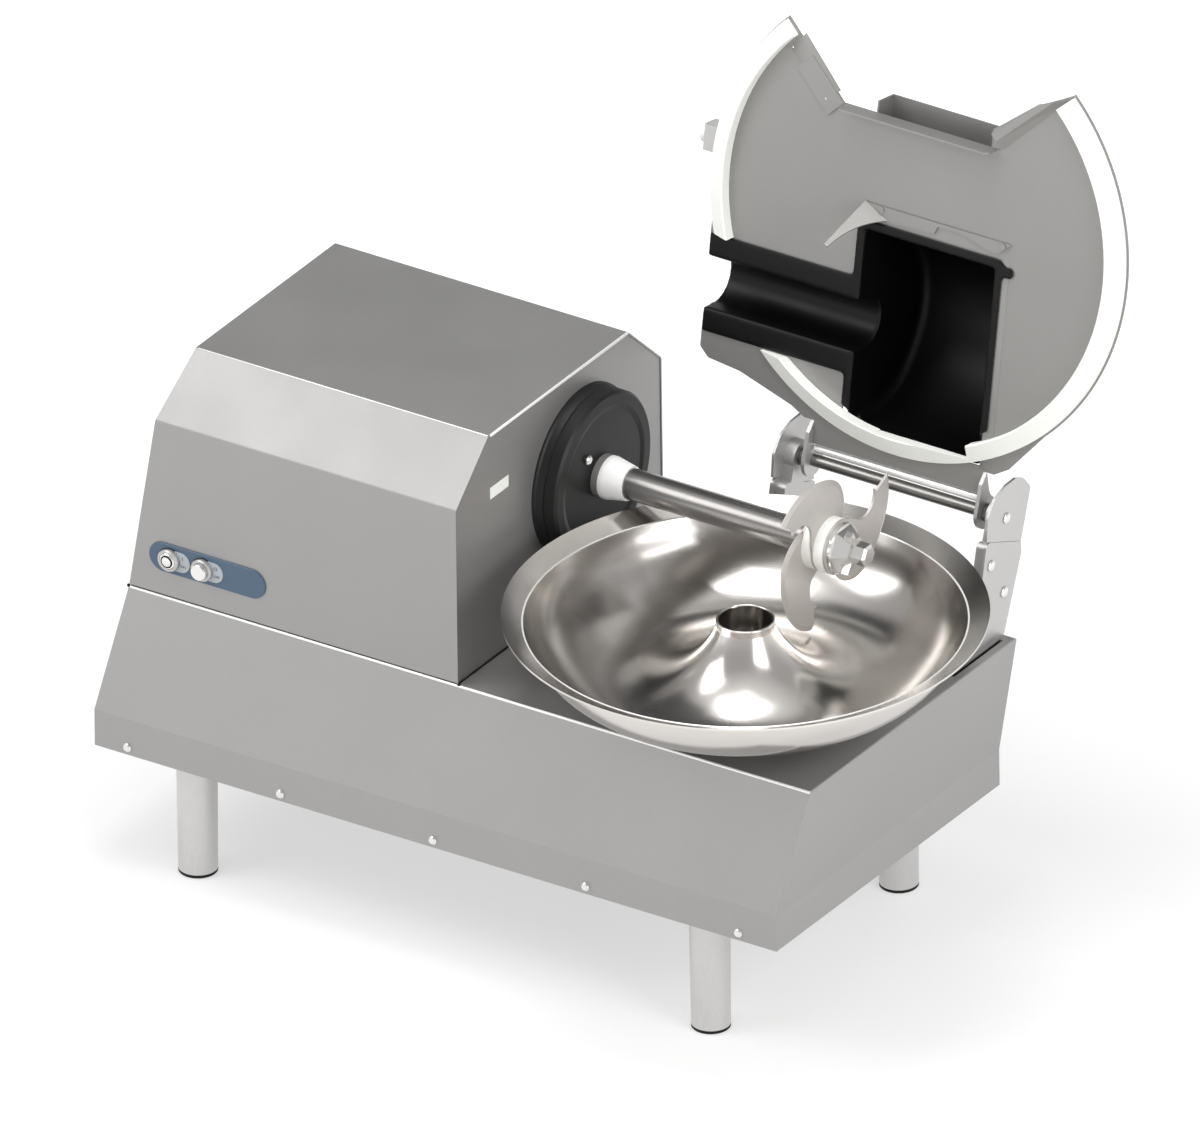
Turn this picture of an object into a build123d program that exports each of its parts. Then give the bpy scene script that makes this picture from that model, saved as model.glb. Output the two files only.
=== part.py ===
"""Table-top meat bowl cutter: turning bowl, sickle knives on a side shaft, lid hinged at the back.

Millimetres.  X runs along the front, Y to the back, Z up.  The origin is the middle of the
front left foot where it stands on the table.  The lid is built closed and swung open.
"""
import os
from math import acos, atan2, cos, degrees, pi, radians, sin, sqrt

from build123d import *

os.makedirs("parts", exist_ok=True)

# ---- driving dimensions -------------------------------------------------------------------
# base cabinet
base_length = 875.0
base_width = 440.0
skirt_height = 43.5
deck_height = 187.0            # deck above the skirt's bottom edge
end_lean = 24.4                # how far both ends lean to the right above the skirt
front_setback = 34.0           # how far the front panel leans back
sheet = 2.0                    # cabinet and housing sheet
bend_radius = 4.0
# legs
leg_inset_x = 108.4
leg_inset_y = 34.7
leg_length = 137.5
leg_radius = 22.6
leg_tip_radius = 21.6
leg_wall = 3.0
foot_thickness = 4.0
leg_bolt_radius = 5.0
# drive housing
housing_face_x = 446.3         # right face, from the base's left bottom edge
housing_front_height = 213.0
housing_height = 275.0
housing_chamfer = 65.6
window_width = 37.5
window_height = 15.0
window_y = 122.0               # window middle, from the base's front
window_z = 388.5               # window middle, above the skirt's bottom edge
# knife shaft
shaft_y = 280.7
shaft_height = 337.7           # above the skirt's bottom edge
shaft_radius = 17.5
arbor_radius = 12.0            # where the knives sit
arbor_flat = 10.5              # half width across the arbor's two drive flats
shaft_inner_length = 268.0     # reach inside the housing
# bowl
bowl_x = 744.3                 # from the base's left bottom edge
bowl_wall = 2.5
shaft_above_rim = 25.4
bowl_offset = 135.0            # bowl axis to knife shaft
rim_drop = 10.8
hub_neck_radius = 32.3
hub_neck_wall = 3.0
hub_top_drop = 8.6             # hub's top below the rim
socket_depth = 80.0            # spindle socket, down from the rim
socket_bore = 12.5
# knives
knife_radius = 107.5
knife_gap = 3.8                 # from the blade tips to the trough
trough_radius = knife_radius + knife_gap   # trough section, about the knife shaft
knife_thickness = 3.0
knife_hub_radius = 31.0
knife_count = 3
knife_tip_angle = 25.0         # first tip, up from +Y
knife_bevel = 6.0
knife_pack_x = 299.1           # back of the first knife, from the housing's face
spacer_thickness = 12.0
nut_length = 38.0
nut_cone_length = 20.0
nut_radius = 29.0
nut_nose_radius = 13.0
lug_size = 8.0
lug_reach = 27.0
# drum cover round the shaft
drum_radius = 97.0
drum_front_radius = 94.6
drum_depth = 29.8
drum_step = 15.0
collar_radius = 24.3
collar_length = 9.7
collar_cone = 24.0
# lid and its hinge
lid_radius = 266.0
rim_radius = lid_radius - 2.5
plate_thickness = 2.0
plate_above_rim = 7.0
seal_radius = lid_radius - 2.0
seal_width = 19.0
seal_rise = 1.2                # seal's outer edge above the rim's edge
seal_drop = 9.2                # from the seal's outer to its inner edge
lid_open_angle = 100.5
hinge_back = lid_radius + 35.7 # hinge axis behind the bowl's axis
hinge_above_rim = 13.5
hinge_rod_radius = 7.0
hinge_plate = 3.0
hinge_plate_x = 883.0          # outer face of the right hinge plate, from the left bottom edge
hinge_span = 277.4             # between the two hinge plates' outer faces
hinge_post = 13.0              # post behind each outer plate
hinge_seam = 25.6              # seam between plate and cap, below the hinge axis
hinge_lean = 23.0
ear_radius = 19.0              # ear's rounding about the hinge axis
ear_thickness = 4.4
ear_x = 108.6                  # ear's inner face from the bowl's axis
washer_radius = 10.0
notch_half_width = 100.0
notch_shift = -8.6
notch_front = 110.0            # notch's inner edge in front of the bowl's axis
notch_flange = 20.0            # flange hanging from the notch's inner edge
chute_width = 24.0             # folded ledge along the notch's right side
chute_lip = 9.0
chute_drop = 4.8               # ledge's level part below the plate
hem_width = 26.0               # flat strip along the notch's left side
grip_left = 68.0
grip_right = 81.0
grip_front = 123.0
grip_back = 56.0
grip_height = 31.0
catch_y = -24.0                # lid switch disc, from the bowl's axis
catch_x = -lid_radius - 21.0
catch_z = 28.0                 # above the rim
catch_radius = 13.0
tail_back = lid_radius + 14.7  # lid plate's straight back edge, behind the bowl's axis
shoulder_back = lid_radius - 11.4          # its shoulders beside the ears
ear_length = hinge_back - shoulder_back - 0.7   # ear's reach in front of the hinge axis
shoulder_inner = ear_x + 13.4
shoulder_right = ear_x + 30.4
shoulder_left = ear_x + 30.4
lobe_left = lid_radius - 6.0   # lid plate's reach beside the shaft tunnel
lobe_back = lid_radius - 45.5
# knife hood
hood_clearance = 4.0           # round the knives
hood_wall = 3.0
hood_left = 72.0               # cavity's ends, from the bowl's axis
hood_right = 112.0
hood_lip = 13.0
tunnel_radius = 29.0
tunnel_half_width = 57.0
seal_notch_left = 25.0         # the seal's inner side is cut straight here, behind the knives
seal_notch_right = 91.0
seal_notch_back = 243.0
# switches
pill_left = 51.7               # from the base's left bottom edge
pill_right = 200.6
pill_height = 35.0
pill_z = 235.5                 # above the skirt's bottom edge
pill_thickness = 2.0
button_radius = 9.5
button_travel = 4.0
bezel_radius = 13.0
bezel_height = 6.0
button_spacing = 42.4
first_button_x = 78.7
tab_length = 37.0
tab_height = 23.5
# drive
motor_radius = 72.0
motor_length = 210.0
motor_pulley_radius = 42.0
shaft_pulley_radius = 52.0
pulley_width = 30.0
belt_thickness = 5.0
bowl_motor_radius = 40.0
bowl_motor_length = 118.0
bowl_pulley_radius = 55.0
gear_pulley_radius = 26.0
bowl_belt_width = 14.0
spindle_radius = 15.0
# clearances
running = 0.05                 # shaft in its bearing
fit = 0.3                      # between pieces that move past each other
seat = 0.2                     # between sheets that fit one inside another
screw_head = 5.2
screw_rise = 2.6
screw_shank = 2.5

# ---- places worked out from them --------------------------------------------------------------
left = -leg_inset_x
right = left + base_length
front = -leg_inset_y
back = front + base_width
skirt_z = leg_length
deck_z = skirt_z + deck_height
bend_z = skirt_z + skirt_height
slope = end_lean / (deck_height - skirt_height)
deck_front = front + front_setback
face_x = left + housing_face_x
housing_top = deck_z + housing_height
sh_y = front + shaft_y
sh_z = skirt_z + shaft_height
bx = left + bowl_x
by = sh_y - bowl_offset
rim_z = sh_z - shaft_above_rim
plate_z = rim_z + plate_above_rim
hinge_y = by + hinge_back
hinge_z = rim_z + hinge_above_rim
knife_x = face_x + knife_pack_x
hood_radius = knife_radius + hood_clearance
motor_x = face_x - shaft_inner_length + pulley_width
motor_y = deck_front + motor_radius + 62.0
motor_z = skirt_z + motor_radius + 22.0
pulley_x = face_x - shaft_inner_length


def save(shape, name):
    export_step(shape, f"parts/{name}.step")


def rod(radius, length, start):
    """Round bar along X from start."""
    return Location(start, (0, 90, 0)) * Cylinder(
        radius, length, align=(Align.CENTER, Align.CENTER, Align.MIN))


def post(radius, height, start):
    """Round bar along Z from start."""
    return Location(start) * Cylinder(
        radius, height, align=(Align.CENTER, Align.CENTER, Align.MIN))


def block(x0, x1, y0, y1, z0, z1):
    size = (x1 - x0, y1 - y0, z1 - z0)
    middle = ((x0 + x1) / 2, (y0 + y1) / 2, (z0 + z1) / 2)
    return Location(middle) * Box(*size)


def ring(outer, inner, length, start):
    """Round tube along X from start."""
    return rod(outer, length, start) - rod(inner, length + 2, (start[0] - 1, start[1], start[2]))


def slab_x(face_yz, x0, x1):
    """A face drawn in Y and Z, made solid from x0 to x1."""
    return Location((x0, 0, 0)) * extrude(Plane.YZ * face_yz, x1 - x0)


def slab_z(face_xy, z0, z1):
    return Location((0, 0, z0)) * extrude(face_xy, z1 - z0)


def dome_screws(places, direction, shank):
    """Low domed screws with a cross slot; places are under their heads."""
    screws = []
    for place in places:
        head = Plane(place, z_dir=direction) * (
            Cylinder(screw_head, screw_rise, align=(Align.CENTER, Align.CENTER, Align.MIN)))
        head = chamfer(head.edges().filter_by(GeomType.CIRCLE).sort_by(
            Axis(place, direction))[-1], screw_rise * 0.55)
        stem = Plane(place, z_dir=tuple(-c for c in direction)) * (
            Cylinder(screw_shank, shank, align=(Align.CENTER, Align.CENTER, Align.MIN)))
        screws.append(head + stem)
    return Compound(screws)


# ---- base cabinet -------------------------------------------------------------------------
def cabinet_body(inset):
    """Skirt and leaning upper panels, grown inwards by inset on every side but the bottom."""
    lower = Pos((left + right) / 2, (front + back) / 2) * Rectangle(
        base_length - 2 * inset, base_width - 2 * inset)
    deck_middle = ((left + right) / 2 + end_lean, (deck_front + back) / 2)
    upper = Pos(*deck_middle) * Rectangle(
        base_length - 2 * inset, base_width - front_setback - 2 * inset)
    skirt = slab_z(lower, skirt_z, bend_z)
    panels = loft([Location((0, 0, bend_z)) * lower, Location((0, 0, deck_z - inset)) * upper],
                  ruled=True)
    return skirt + panels


def skirt_screw_places():
    count = 5
    pitch = (base_length - 2 * 45.5) / (count - 1)
    return [(left + 42.0 + i * pitch, front, skirt_z + 9.0) for i in range(count)]


def cabinet():
    shell = cabinet_body(0)
    top = shell.faces().sort_by(Axis.Z)[-1]
    shell = fillet(top.edges(), bend_radius / 2)
    shell -= cabinet_body(sheet) + block(left + sheet, right - sheet, front + sheet,
                                         back - sheet, skirt_z - 1, skirt_z + 1)
    # belt opening below the housing, bowl spindle opening, bearing pedestal bolts
    shell -= block(pulley_x - 12, pulley_x + pulley_width + 12,
                   motor_y - motor_pulley_radius - 18, sh_y + shaft_pulley_radius + 18,
                   deck_z - sheet - 1, deck_z + 1)
    shell -= post(spindle_radius + 22, sheet + 2, (bx, by, deck_z - sheet - 1))
    shell -= lid_switch_slot()
    for x, y, z in skirt_screw_places():
        shell -= Plane((x, y - 1, z), z_dir=(0, 1, 0)) * Cylinder(
            screw_shank + seat, 3 * sheet, align=(Align.CENTER, Align.CENTER, Align.MIN))
    return shell


def lid_switch_slot():
    """Slot through the deck beside the right hinge plate."""
    outer_right = left + hinge_plate_x
    slot_length = 96.0
    slot_width = 5.0
    return block(outer_right + 1.5, outer_right + 1.5 + slot_width,
                 back - 12 - slot_length, back - 12, deck_z - sheet - 1, deck_z + 1)


pan_height = 18.0


def bottom_pan():
    """Closing pan inside the skirt; the skirt's screws and the legs fasten to it."""
    gap = sheet + seat
    outer = block(left + gap, right - gap, front + gap, back - gap, skirt_z, skirt_z + pan_height)
    inner = block(left + gap + sheet, right - gap - sheet, front + gap + sheet,
                  back - gap - sheet, skirt_z + sheet, skirt_z + pan_height + 1)
    pan = outer - inner
    for x, y, z in leg_places():
        pan -= post(leg_bolt_radius + seat, sheet + 2, (x, y, skirt_z - 1))
    for x, y, z in skirt_screw_places():
        pan -= Plane((x, y, z), z_dir=(0, 1, 0)) * Cylinder(
            screw_shank + seat, 3 * sheet + seat, align=(Align.CENTER, Align.CENTER, Align.MIN))
    return pan


# ---- legs ---------------------------------------------------------------------------------
def leg_places():
    xs = (0.0, base_length - 2 * leg_inset_x)
    ys = (0.0, base_width - 2 * leg_inset_y)
    return [(x, y, 0.0) for y in ys for x in xs]


def leg(place):
    """Slightly tapered tube with a thick threaded top."""
    x, y, z = place
    top = leg_length
    bore = leg_tip_radius - leg_wall
    profile = Polyline((0, foot_thickness), (leg_tip_radius, foot_thickness),
                       (leg_radius, top), (0, top), close=True)
    body = revolve(Plane.XZ * make_face(profile), Axis.Z)
    body -= post(bore, top - 14.0 - foot_thickness, (0, 0, foot_thickness))
    body -= post(leg_bolt_radius, 16.0, (0, 0, top - 15.0))
    return Location((x, y, 0)) * body


def foot(place):
    """Rubber tip: a flat pad with a plug pushed up into the leg."""
    x, y, z = place
    pad = post(leg_tip_radius, foot_thickness, (0, 0, 0))
    pad = chamfer(pad.edges().sort_by(Axis.Z)[0], 0.8)
    plug = post(leg_tip_radius - leg_wall - seat, 14.0, (0, 0, foot_thickness))
    plug -= post(leg_tip_radius - leg_wall - 4.0, 12.0, (0, 0, foot_thickness + 3.0))
    return Location((x, y, 0)) * (pad + plug)


def leg_bolt(place):
    x, y, z = place
    head_height = 6.5
    across = 17.0
    head = extrude(RegularPolygon(across / sqrt(3), 6), head_height)
    shank = post(leg_bolt_radius - seat, 15.0, (0, 0, -15.0))
    return Location((x, y, skirt_z + sheet)) * (head + shank)


# ---- drive housing --------------------------------------------------------------------------
def housing_profile(inset):
    """Front, sloping shoulder, top, back shoulder and back, as a face in Y and Z."""
    y0 = deck_front + inset
    y1 = back - inset
    shoulder = inset * 0.42
    z1 = deck_z + housing_front_height - shoulder
    z2 = housing_top - inset
    run = housing_chamfer + shoulder - inset
    outline = Polyline((y0, deck_z), (y0, z1), (y0 + run, z2), (y1 - run, z2), (y1, z1),
                       (y1, deck_z), close=True)
    face = make_face(outline)
    corners = [v for v in face.vertices() if v.Y > deck_z + 1]
    return fillet(corners, bend_radius - inset * 0.5)


def housing_block(inset, x_right):
    """The housing's outline between its leaning left end and x_right."""
    y0 = deck_front - 1
    y1 = back + 1
    tall = housing_height + 1
    foot_x = left + end_lean + inset
    ends = Polyline((foot_x, deck_z), (foot_x + slope * tall, deck_z + tall),
                    (x_right, deck_z + tall), (x_right, deck_z), close=True)
    prism = Location((0, y1, 0)) * extrude(Plane.XZ * make_face(ends), y1 - y0)
    return slab_x(housing_profile(inset), left, x_right + 50) & prism


end_inset = sheet + seat


def housing_wrap():
    """One bent sheet: front, shoulders, top and back."""
    outer = housing_block(0, face_x)
    core = slab_x(housing_profile(sheet), left - 50, face_x + 50)
    wrap = outer - core
    for x, z in button_places():
        wrap -= on_front(Circle(bezel_radius - 2.2), x, z, 3 * sheet, -2 * sheet)
    return wrap


def housing_end_right():
    """Flat end plate inside the wrap, bored for the shaft, slotted for the lid switch."""
    plate = slab_x(housing_profile(end_inset), face_x - sheet - 1.0, face_x - 1.0)
    plate -= rod(collar_radius + 8.0, 20, (face_x - 10, sh_y, sh_z))
    y = front + window_y
    z = skirt_z + window_z
    plate -= block(face_x - 10, face_x + 10, y - window_width / 2, y + window_width / 2,
                   z - window_height / 2, z + window_height / 2)
    for place in drum_screw_places():
        plate -= rod(screw_shank + seat, 20, (face_x - 10, place[1], place[2]))
    return plate


def housing_end_left():
    """Flat plate inside the wrap's leaning left end."""
    return (housing_block(end_inset, face_x - 60)
            - Location((sheet, 0, 0)) * housing_block(end_inset, face_x + 60))


def window_guide():
    """White slide block behind the window, where the lid switch's plunger sits."""
    y = front + window_y
    z = skirt_z + window_z
    wide = window_width / 2 - seat
    high = window_height / 2 - seat
    guide = block(face_x - sheet - 2.0, face_x - 1.5, y - wide, y + wide, z - high, z + high)
    guide += block(face_x - sheet - 14.0, face_x - sheet - 1.0 - seat, y - wide - 5, y + wide + 5,
                   z - high - 5, z + high + 5)
    return guide


def inner_frame():
    """Welded cradle on the deck that carries the knife shaft's bearing tube."""
    plates = []
    for x in (face_x - 46.0, face_x - 190.0):
        wide = 74.0
        outline = Polyline((sh_y - wide, deck_z), (sh_y + wide, deck_z),
                           (sh_y + bearing_outer + 9, sh_z), (sh_y - bearing_outer - 9, sh_z),
                           close=True)
        web = slab_x(make_face(outline), x, x + 10.0)
        web += rod(bearing_outer + 9, 10.0, (x, sh_y, sh_z))
        web -= rod(bearing_outer, 12.0, (x - 1, sh_y, sh_z))
        plates.append(web)
    sole = block(face_x - 190.0, face_x - 36.0, sh_y - 74.0, sh_y + 74.0, deck_z, deck_z + 8.0)
    return plates[0] + plates[1] + sole


bearing_outer = 38.0
tube_reach = 200.0             # bearing tube's inner end, from the housing's face
bearing_width = 18.0


def bearing_tube():
    """Turned tube with a bearing seat at each end."""
    start = face_x - tube_reach
    length = tube_reach - sheet - 12.0
    tube = rod(bearing_outer - seat / 2, length, (start, sh_y, sh_z))
    tube -= rod(bearing_outer - 8.0, length + 2, (start - 1, sh_y, sh_z))
    for x in (start - 1, start + length - bearing_width):
        tube -= rod(bearing_outer - 4.0, bearing_width + 1, (x, sh_y, sh_z))
    return tube


def shaft_bearings():
    start = face_x - tube_reach
    length = tube_reach - sheet - 12.0
    rings = []
    for x in (start, start + length - bearing_width):
        rings.append(ring(bearing_outer - 4.0 - running, shaft_radius + running, bearing_width,
                          (x, sh_y, sh_z)))
    return Compound(rings)


# ---- drum cover, seal and shaft ----------------------------------------------------------------
def turned_x(points, x0):
    """Solid of revolution about the knife shaft; points are (x from x0, radius)."""
    outline = Polyline(*points, close=True)
    face = Location((x0, sh_y, sh_z)) * (Plane.XZ * make_face(outline))
    return revolve(face, Axis((x0, sh_y, sh_z), (1, 0, 0)))


def drum_screw_places():
    reach = 46.0
    return [(face_x + drum_depth, sh_y + reach * cos(a), sh_z + reach * sin(a))
            for a in (radians(133), radians(313))]


def drum_cover():
    """Moulded black cover: flange, waisted side, raised ring and a slightly dished face."""
    bore = collar_radius + seat / 2
    wall = 3.5
    points = [(0, drum_radius), (2.5, drum_radius), (4.5, drum_radius - 2.0),
              (drum_step - 3, drum_radius - 3.4), (drum_step, drum_front_radius),
              (drum_depth - 3.0, drum_front_radius), (drum_depth, drum_front_radius - 3.0),
              (drum_depth, 80.0), (drum_depth - 1.5, 74.0), (drum_depth - 1.5, bore),
              (drum_depth - 1.5 - wall, bore), (drum_depth - 1.5 - wall, drum_radius - 8.0),
              (0, drum_radius - 8.0)]
    cover = turned_x(points, face_x - 1.0)
    for x, y, z in drum_screw_places():
        cover += rod(6.0, drum_depth - 4.0, (face_x - 1.0, y, z))
        cover -= rod(screw_shank + seat, drum_depth + 6.0, (face_x - 2.0, y, z))
    return cover


def seal_collar():
    """White lip seal: round at the cover, tapering down to the shaft."""
    start = drum_depth - 12.0
    points = [(start, shaft_radius + running), (start, collar_radius),
              (drum_depth + collar_length, collar_radius),
              (drum_depth + collar_length + collar_cone, shaft_radius + 2.0),
              (drum_depth + collar_length + collar_cone, shaft_radius + running)]
    return turned_x(points, face_x)


def pack_end():
    return knife_x + knife_count * knife_thickness + (knife_count - 1) * spacer_thickness


def knife_shaft():
    """Ground shaft, stepped down to a flatted arbor and a threaded end for the knives."""
    body = rod(shaft_radius, knife_x - pulley_x, (pulley_x, sh_y, sh_z))
    arbor = rod(arbor_radius, pack_end() - knife_x, (knife_x, sh_y, sh_z))
    arbor &= block(knife_x - 1, pack_end() + 1, sh_y - arbor_flat, sh_y + arbor_flat,
                   sh_z - shaft_radius, sh_z + shaft_radius)
    thread = rod(arbor_flat - 1.0, nut_length - 8.0, (pack_end(), sh_y, sh_z))
    body = chamfer(body.edges().filter_by(GeomType.CIRCLE).sort_by(Axis.X)[-1], 1.2)
    return body + arbor + thread


def grooved_pulley(radius, width, grooves, x, y, z, bore):
    """V-belt pulley about an X axis."""
    depth = 6.0
    pitch = width / grooves
    points = [(0, bore), (0, radius)]
    for i in range(grooves):
        points += [(i * pitch + pitch * 0.15, radius), (i * pitch + pitch * 0.4, radius - depth),
                   (i * pitch + pitch * 0.6, radius - depth), (i * pitch + pitch * 0.85, radius)]
    points += [(width, radius), (width, bore)]
    face = Location((x, y, z)) * (Plane.XZ * make_face(Polyline(*points, close=True)))
    return revolve(face, Axis((x, y, z), (1, 0, 0)))


def belt_loop(centre_a, radius_a, centre_b, radius_b, thickness):
    """Face of a belt round two pulleys, in the plane of the centres."""
    def hull(extra):
        (ya, za), (yb, zb) = centre_a, centre_b
        gap = sqrt((yb - ya) ** 2 + (zb - za) ** 2)
        ra, rb = radius_a + extra, radius_b + extra
        along = atan2(zb - za, yb - ya)
        swing = acos((ra - rb) / gap)
        corners = []
        for turn in (swing, -swing):
            corners.append((ya + ra * cos(along + turn), za + ra * sin(along + turn)))
            corners.append((yb + rb * cos(along + turn), zb + rb * sin(along + turn)))
        quad = make_face(Polyline(corners[0], corners[1], corners[3], corners[2], close=True))
        return quad + Pos(ya, za) * Circle(ra) + Pos(yb, zb) * Circle(rb)
    return hull(fit + thickness) - hull(fit)


# ---- knives ------------------------------------------------------------------------------------
def polar(radius, angle):
    return radius * cos(radians(angle)), radius * sin(radians(angle))


def knife(index):
    """Flat sickle blade: spiral cutting edge, hooked tip, hub with a flatted bore."""
    k = knife_radius
    edge = Spline(polar(knife_hub_radius, -128), polar(0.485 * k, -97), polar(0.615 * k, -78),
                  polar(0.745 * k, -48), polar(0.9 * k, -22), polar(k, 0))
    tip = Line(edge @ 1, polar(0.755 * k, 0.5))
    step = Line(tip @ 1, polar(0.745 * k, 4.0))
    throat = Spline(step @ 1, polar(0.565 * k, -9), polar(0.43 * k, -8), polar(0.33 * k, 12),
                    polar(knife_hub_radius - 2, 40))
    close_up = Line(throat @ 1, edge @ 0)
    blade = extrude(make_face(Curve() + [edge, tip, step, throat, close_up]), knife_thickness)
    upper = [e for e in blade.edges() if e.center().Z > knife_thickness * 0.9]
    sharp = max(upper, key=lambda e: e.length)
    blade = chamfer(sharp, knife_thickness * 0.8, knife_bevel)
    blade += extrude(Circle(knife_hub_radius), knife_thickness)
    slot = Circle(arbor_radius + seat) & Rectangle(2 * (arbor_flat + seat), 60)
    bore = extrude(slot, knife_thickness)
    turn = knife_tip_angle + 120.0 * (2, 1, 0)[index]
    blade = blade.rotate(Axis.Z, turn) - bore
    x = knife_x + index * (knife_thickness + spacer_thickness)
    # blade plane XY becomes the machine's YZ
    return Plane((x, sh_y, sh_z), x_dir=(0, 1, 0), z_dir=(1, 0, 0)) * blade


def knife_spacer(index):
    x = knife_x + knife_thickness + index * (knife_thickness + spacer_thickness)
    disc = ring(knife_hub_radius, arbor_radius + seat, spacer_thickness, (x, sh_y, sh_z))
    return chamfer(disc.edges().filter_by(GeomType.CIRCLE).sort_by(Axis.X)[-1], 0.8)


def knife_nut():
    """Conical locking nut with six flats, a hexagonal nose and three gripping lugs."""
    x = pack_end()
    cone = turned_x([(0, 0), (0, nut_radius), (4.0, nut_radius), (nut_cone_length, 16.5),
                     (nut_cone_length, 0)], x)
    flats = Plane((x + 5.0, sh_y, sh_z), x_dir=(0, 1, 0), z_dir=(1, 0, 0)) * extrude(
        RegularPolygon(27.5, 6), nut_cone_length, taper=32)
    low = rod(nut_radius + 1, 5.0, (x, sh_y, sh_z))
    body = cone & (flats + low)
    nose_x = x + nut_cone_length
    nose = Plane((nose_x - 2, sh_y, sh_z), x_dir=(0, 1, 0), z_dir=(1, 0, 0)) * extrude(
        RegularPolygon(nut_nose_radius, 6), nut_length - nut_cone_length + 2)
    nose = chamfer(nose.faces().sort_by(Axis.X)[-1].edges(), 2.5)
    body += nose
    for i in range(3):
        angle = -8.0 + 120.0 * i
        lug = block(nose_x - 6.0, nose_x + 2.0, 6.0, lug_reach, -lug_size / 2, lug_size / 2)
        lug = lug.rotate(Axis.X, angle)
        body += Location((0, sh_y, sh_z)) * lug
    body -= rod(arbor_flat - 1.0 + 0.15, nut_length - 7.0, (x - 1, sh_y, sh_z))
    return body


# ---- bowl --------------------------------------------------------------------------------------
def section_z(r, radius):
    """Height of the trough section's lower side at distance r from the bowl's axis."""
    return shaft_above_rim - sqrt(radius ** 2 - (bowl_offset - r) ** 2)


def section_r(z, radius, side):
    return bowl_offset + side * sqrt(radius ** 2 - (shaft_above_rim - z) ** 2)


def bowl():
    """Spun ring-shaped trough with a conical rim and a hub that drops into a spindle socket."""
    inner = trough_radius
    outer = trough_radius + bowl_wall
    lowest_in = (bowl_offset, shaft_above_rim - inner)
    lowest_out = (bowl_offset, shaft_above_rim - outer)
    rim_in = (section_r(-rim_drop, inner, 1), -rim_drop)
    under = -rim_drop - bowl_wall
    rim_out = (section_r(under, outer, 1), under)
    neck_in = (hub_neck_radius, section_z(hub_neck_radius, inner))
    neck_bore = hub_neck_radius - hub_neck_wall
    socket_wall = hub_neck_radius + 1.5
    join = (socket_wall, section_z(socket_wall, outer))
    lines = Curve() + [
        Line((rim_radius, -0.8), rim_in),
        ThreePointArc(rim_in, lowest_in, neck_in),
        Line(neck_in, (hub_neck_radius, -hub_top_drop - 1.5)),
        ThreePointArc((hub_neck_radius, -hub_top_drop - 1.5),
                      (hub_neck_radius - hub_neck_wall / 2, -hub_top_drop),
                      (neck_bore, -hub_top_drop - 1.5)),
        Line((neck_bore, -hub_top_drop - 1.5), (neck_bore, -socket_depth + 8.0)),
        Line((neck_bore, -socket_depth + 8.0), (socket_bore, -socket_depth + 8.0)),
        Line((socket_bore, -socket_depth + 8.0), (socket_bore, -socket_depth)),
        Line((socket_bore, -socket_depth), (socket_wall, -socket_depth)),
        Line((socket_wall, -socket_depth), join),
        ThreePointArc(join, lowest_out, rim_out),
        Line(rim_out, (rim_radius, -bowl_wall - 0.8)),
        Line((rim_radius, -bowl_wall - 0.8), (rim_radius, -0.8)),
    ]
    face = Plane.XZ * make_face(lines)
    return Location((bx, by, rim_z)) * revolve(face, Axis.Z)


def turned_z(points, z0):
    face = Plane.XZ * make_face(Polyline(*points, close=True))
    return Location((bx, by, z0)) * revolve(face, Axis.Z)


spindle_head = 30.0
spindle_low = 190.0            # spindle's length below the bowl's seat


def spindle():
    """Bowl spindle: seat under the socket, journal, and a seat for the drive pulley."""
    seat_z = rim_z - socket_depth
    points = [(0, -spindle_low), (spindle_radius, -spindle_low), (spindle_radius, -10.0),
              (spindle_head, -10.0), (spindle_head, 0), (socket_bore - seat, 0),
              (socket_bore - seat, 8.0), (9.0, 8.0), (9.0, 22.0), (0, 22.0)]
    return turned_z(points, seat_z)


def bowl_nut():
    """Hexagonal nut in the hub's socket that holds the bowl on its spindle."""
    z = rim_z - socket_depth + 8.0
    nut = extrude(RegularPolygon(17.0, 6), 12.0) - extrude(Circle(9.0 + running), 12.0)
    nut = chamfer(nut.faces().sort_by(Axis.Z)[-1].outer_wire().edges(), 1.5)
    return Location((bx, by, z)) * nut


def bowl_bearing_housing():
    """Turned housing through the deck: flange on top, two bearing seats."""
    flange = 78.0
    seat_z = rim_z - socket_depth
    up = seat_z - 10.0 - 4.0 - deck_z
    points = [(spindle_radius + 14.0, -96.0), (spindle_radius + 20.0, -96.0),
              (spindle_radius + 20.0, 0), (flange, 0), (flange, 7.0), (flange - 2.0, 9.0),
              (spindle_radius + 24.0, 9.0), (spindle_radius + 18.0, up),
              (spindle_radius + 14.0, up)]
    body = turned_z(points, deck_z)
    for i in range(4):
        x, y = polar(62.0, 45 + 90 * i)
        body -= post(4.2, 12.0, (bx + x, by + y, deck_z - 1))
    return body


def bowl_flange_bolts():
    bolts = []
    for i in range(4):
        x, y = polar(62.0, 45 + 90 * i)
        head = extrude(RegularPolygon(7.5, 6), 5.5)
        shank = post(4.0, 9.0, (0, 0, -9.0))
        bolts.append(Location((bx + x, by + y, deck_z + 9.0)) * (head + shank))
    return Compound(bolts)


def bowl_bearings():
    seat_z = rim_z - socket_depth
    rings = []
    for z in (deck_z - 95.0, seat_z - 10.0 - 4.0 - 16.0):
        outer = post(spindle_radius + 14.0 - running, 15.0, (bx, by, z))
        rings.append(outer - post(spindle_radius + running, 17.0, (bx, by, z - 1)))
    return Compound(rings)


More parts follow.
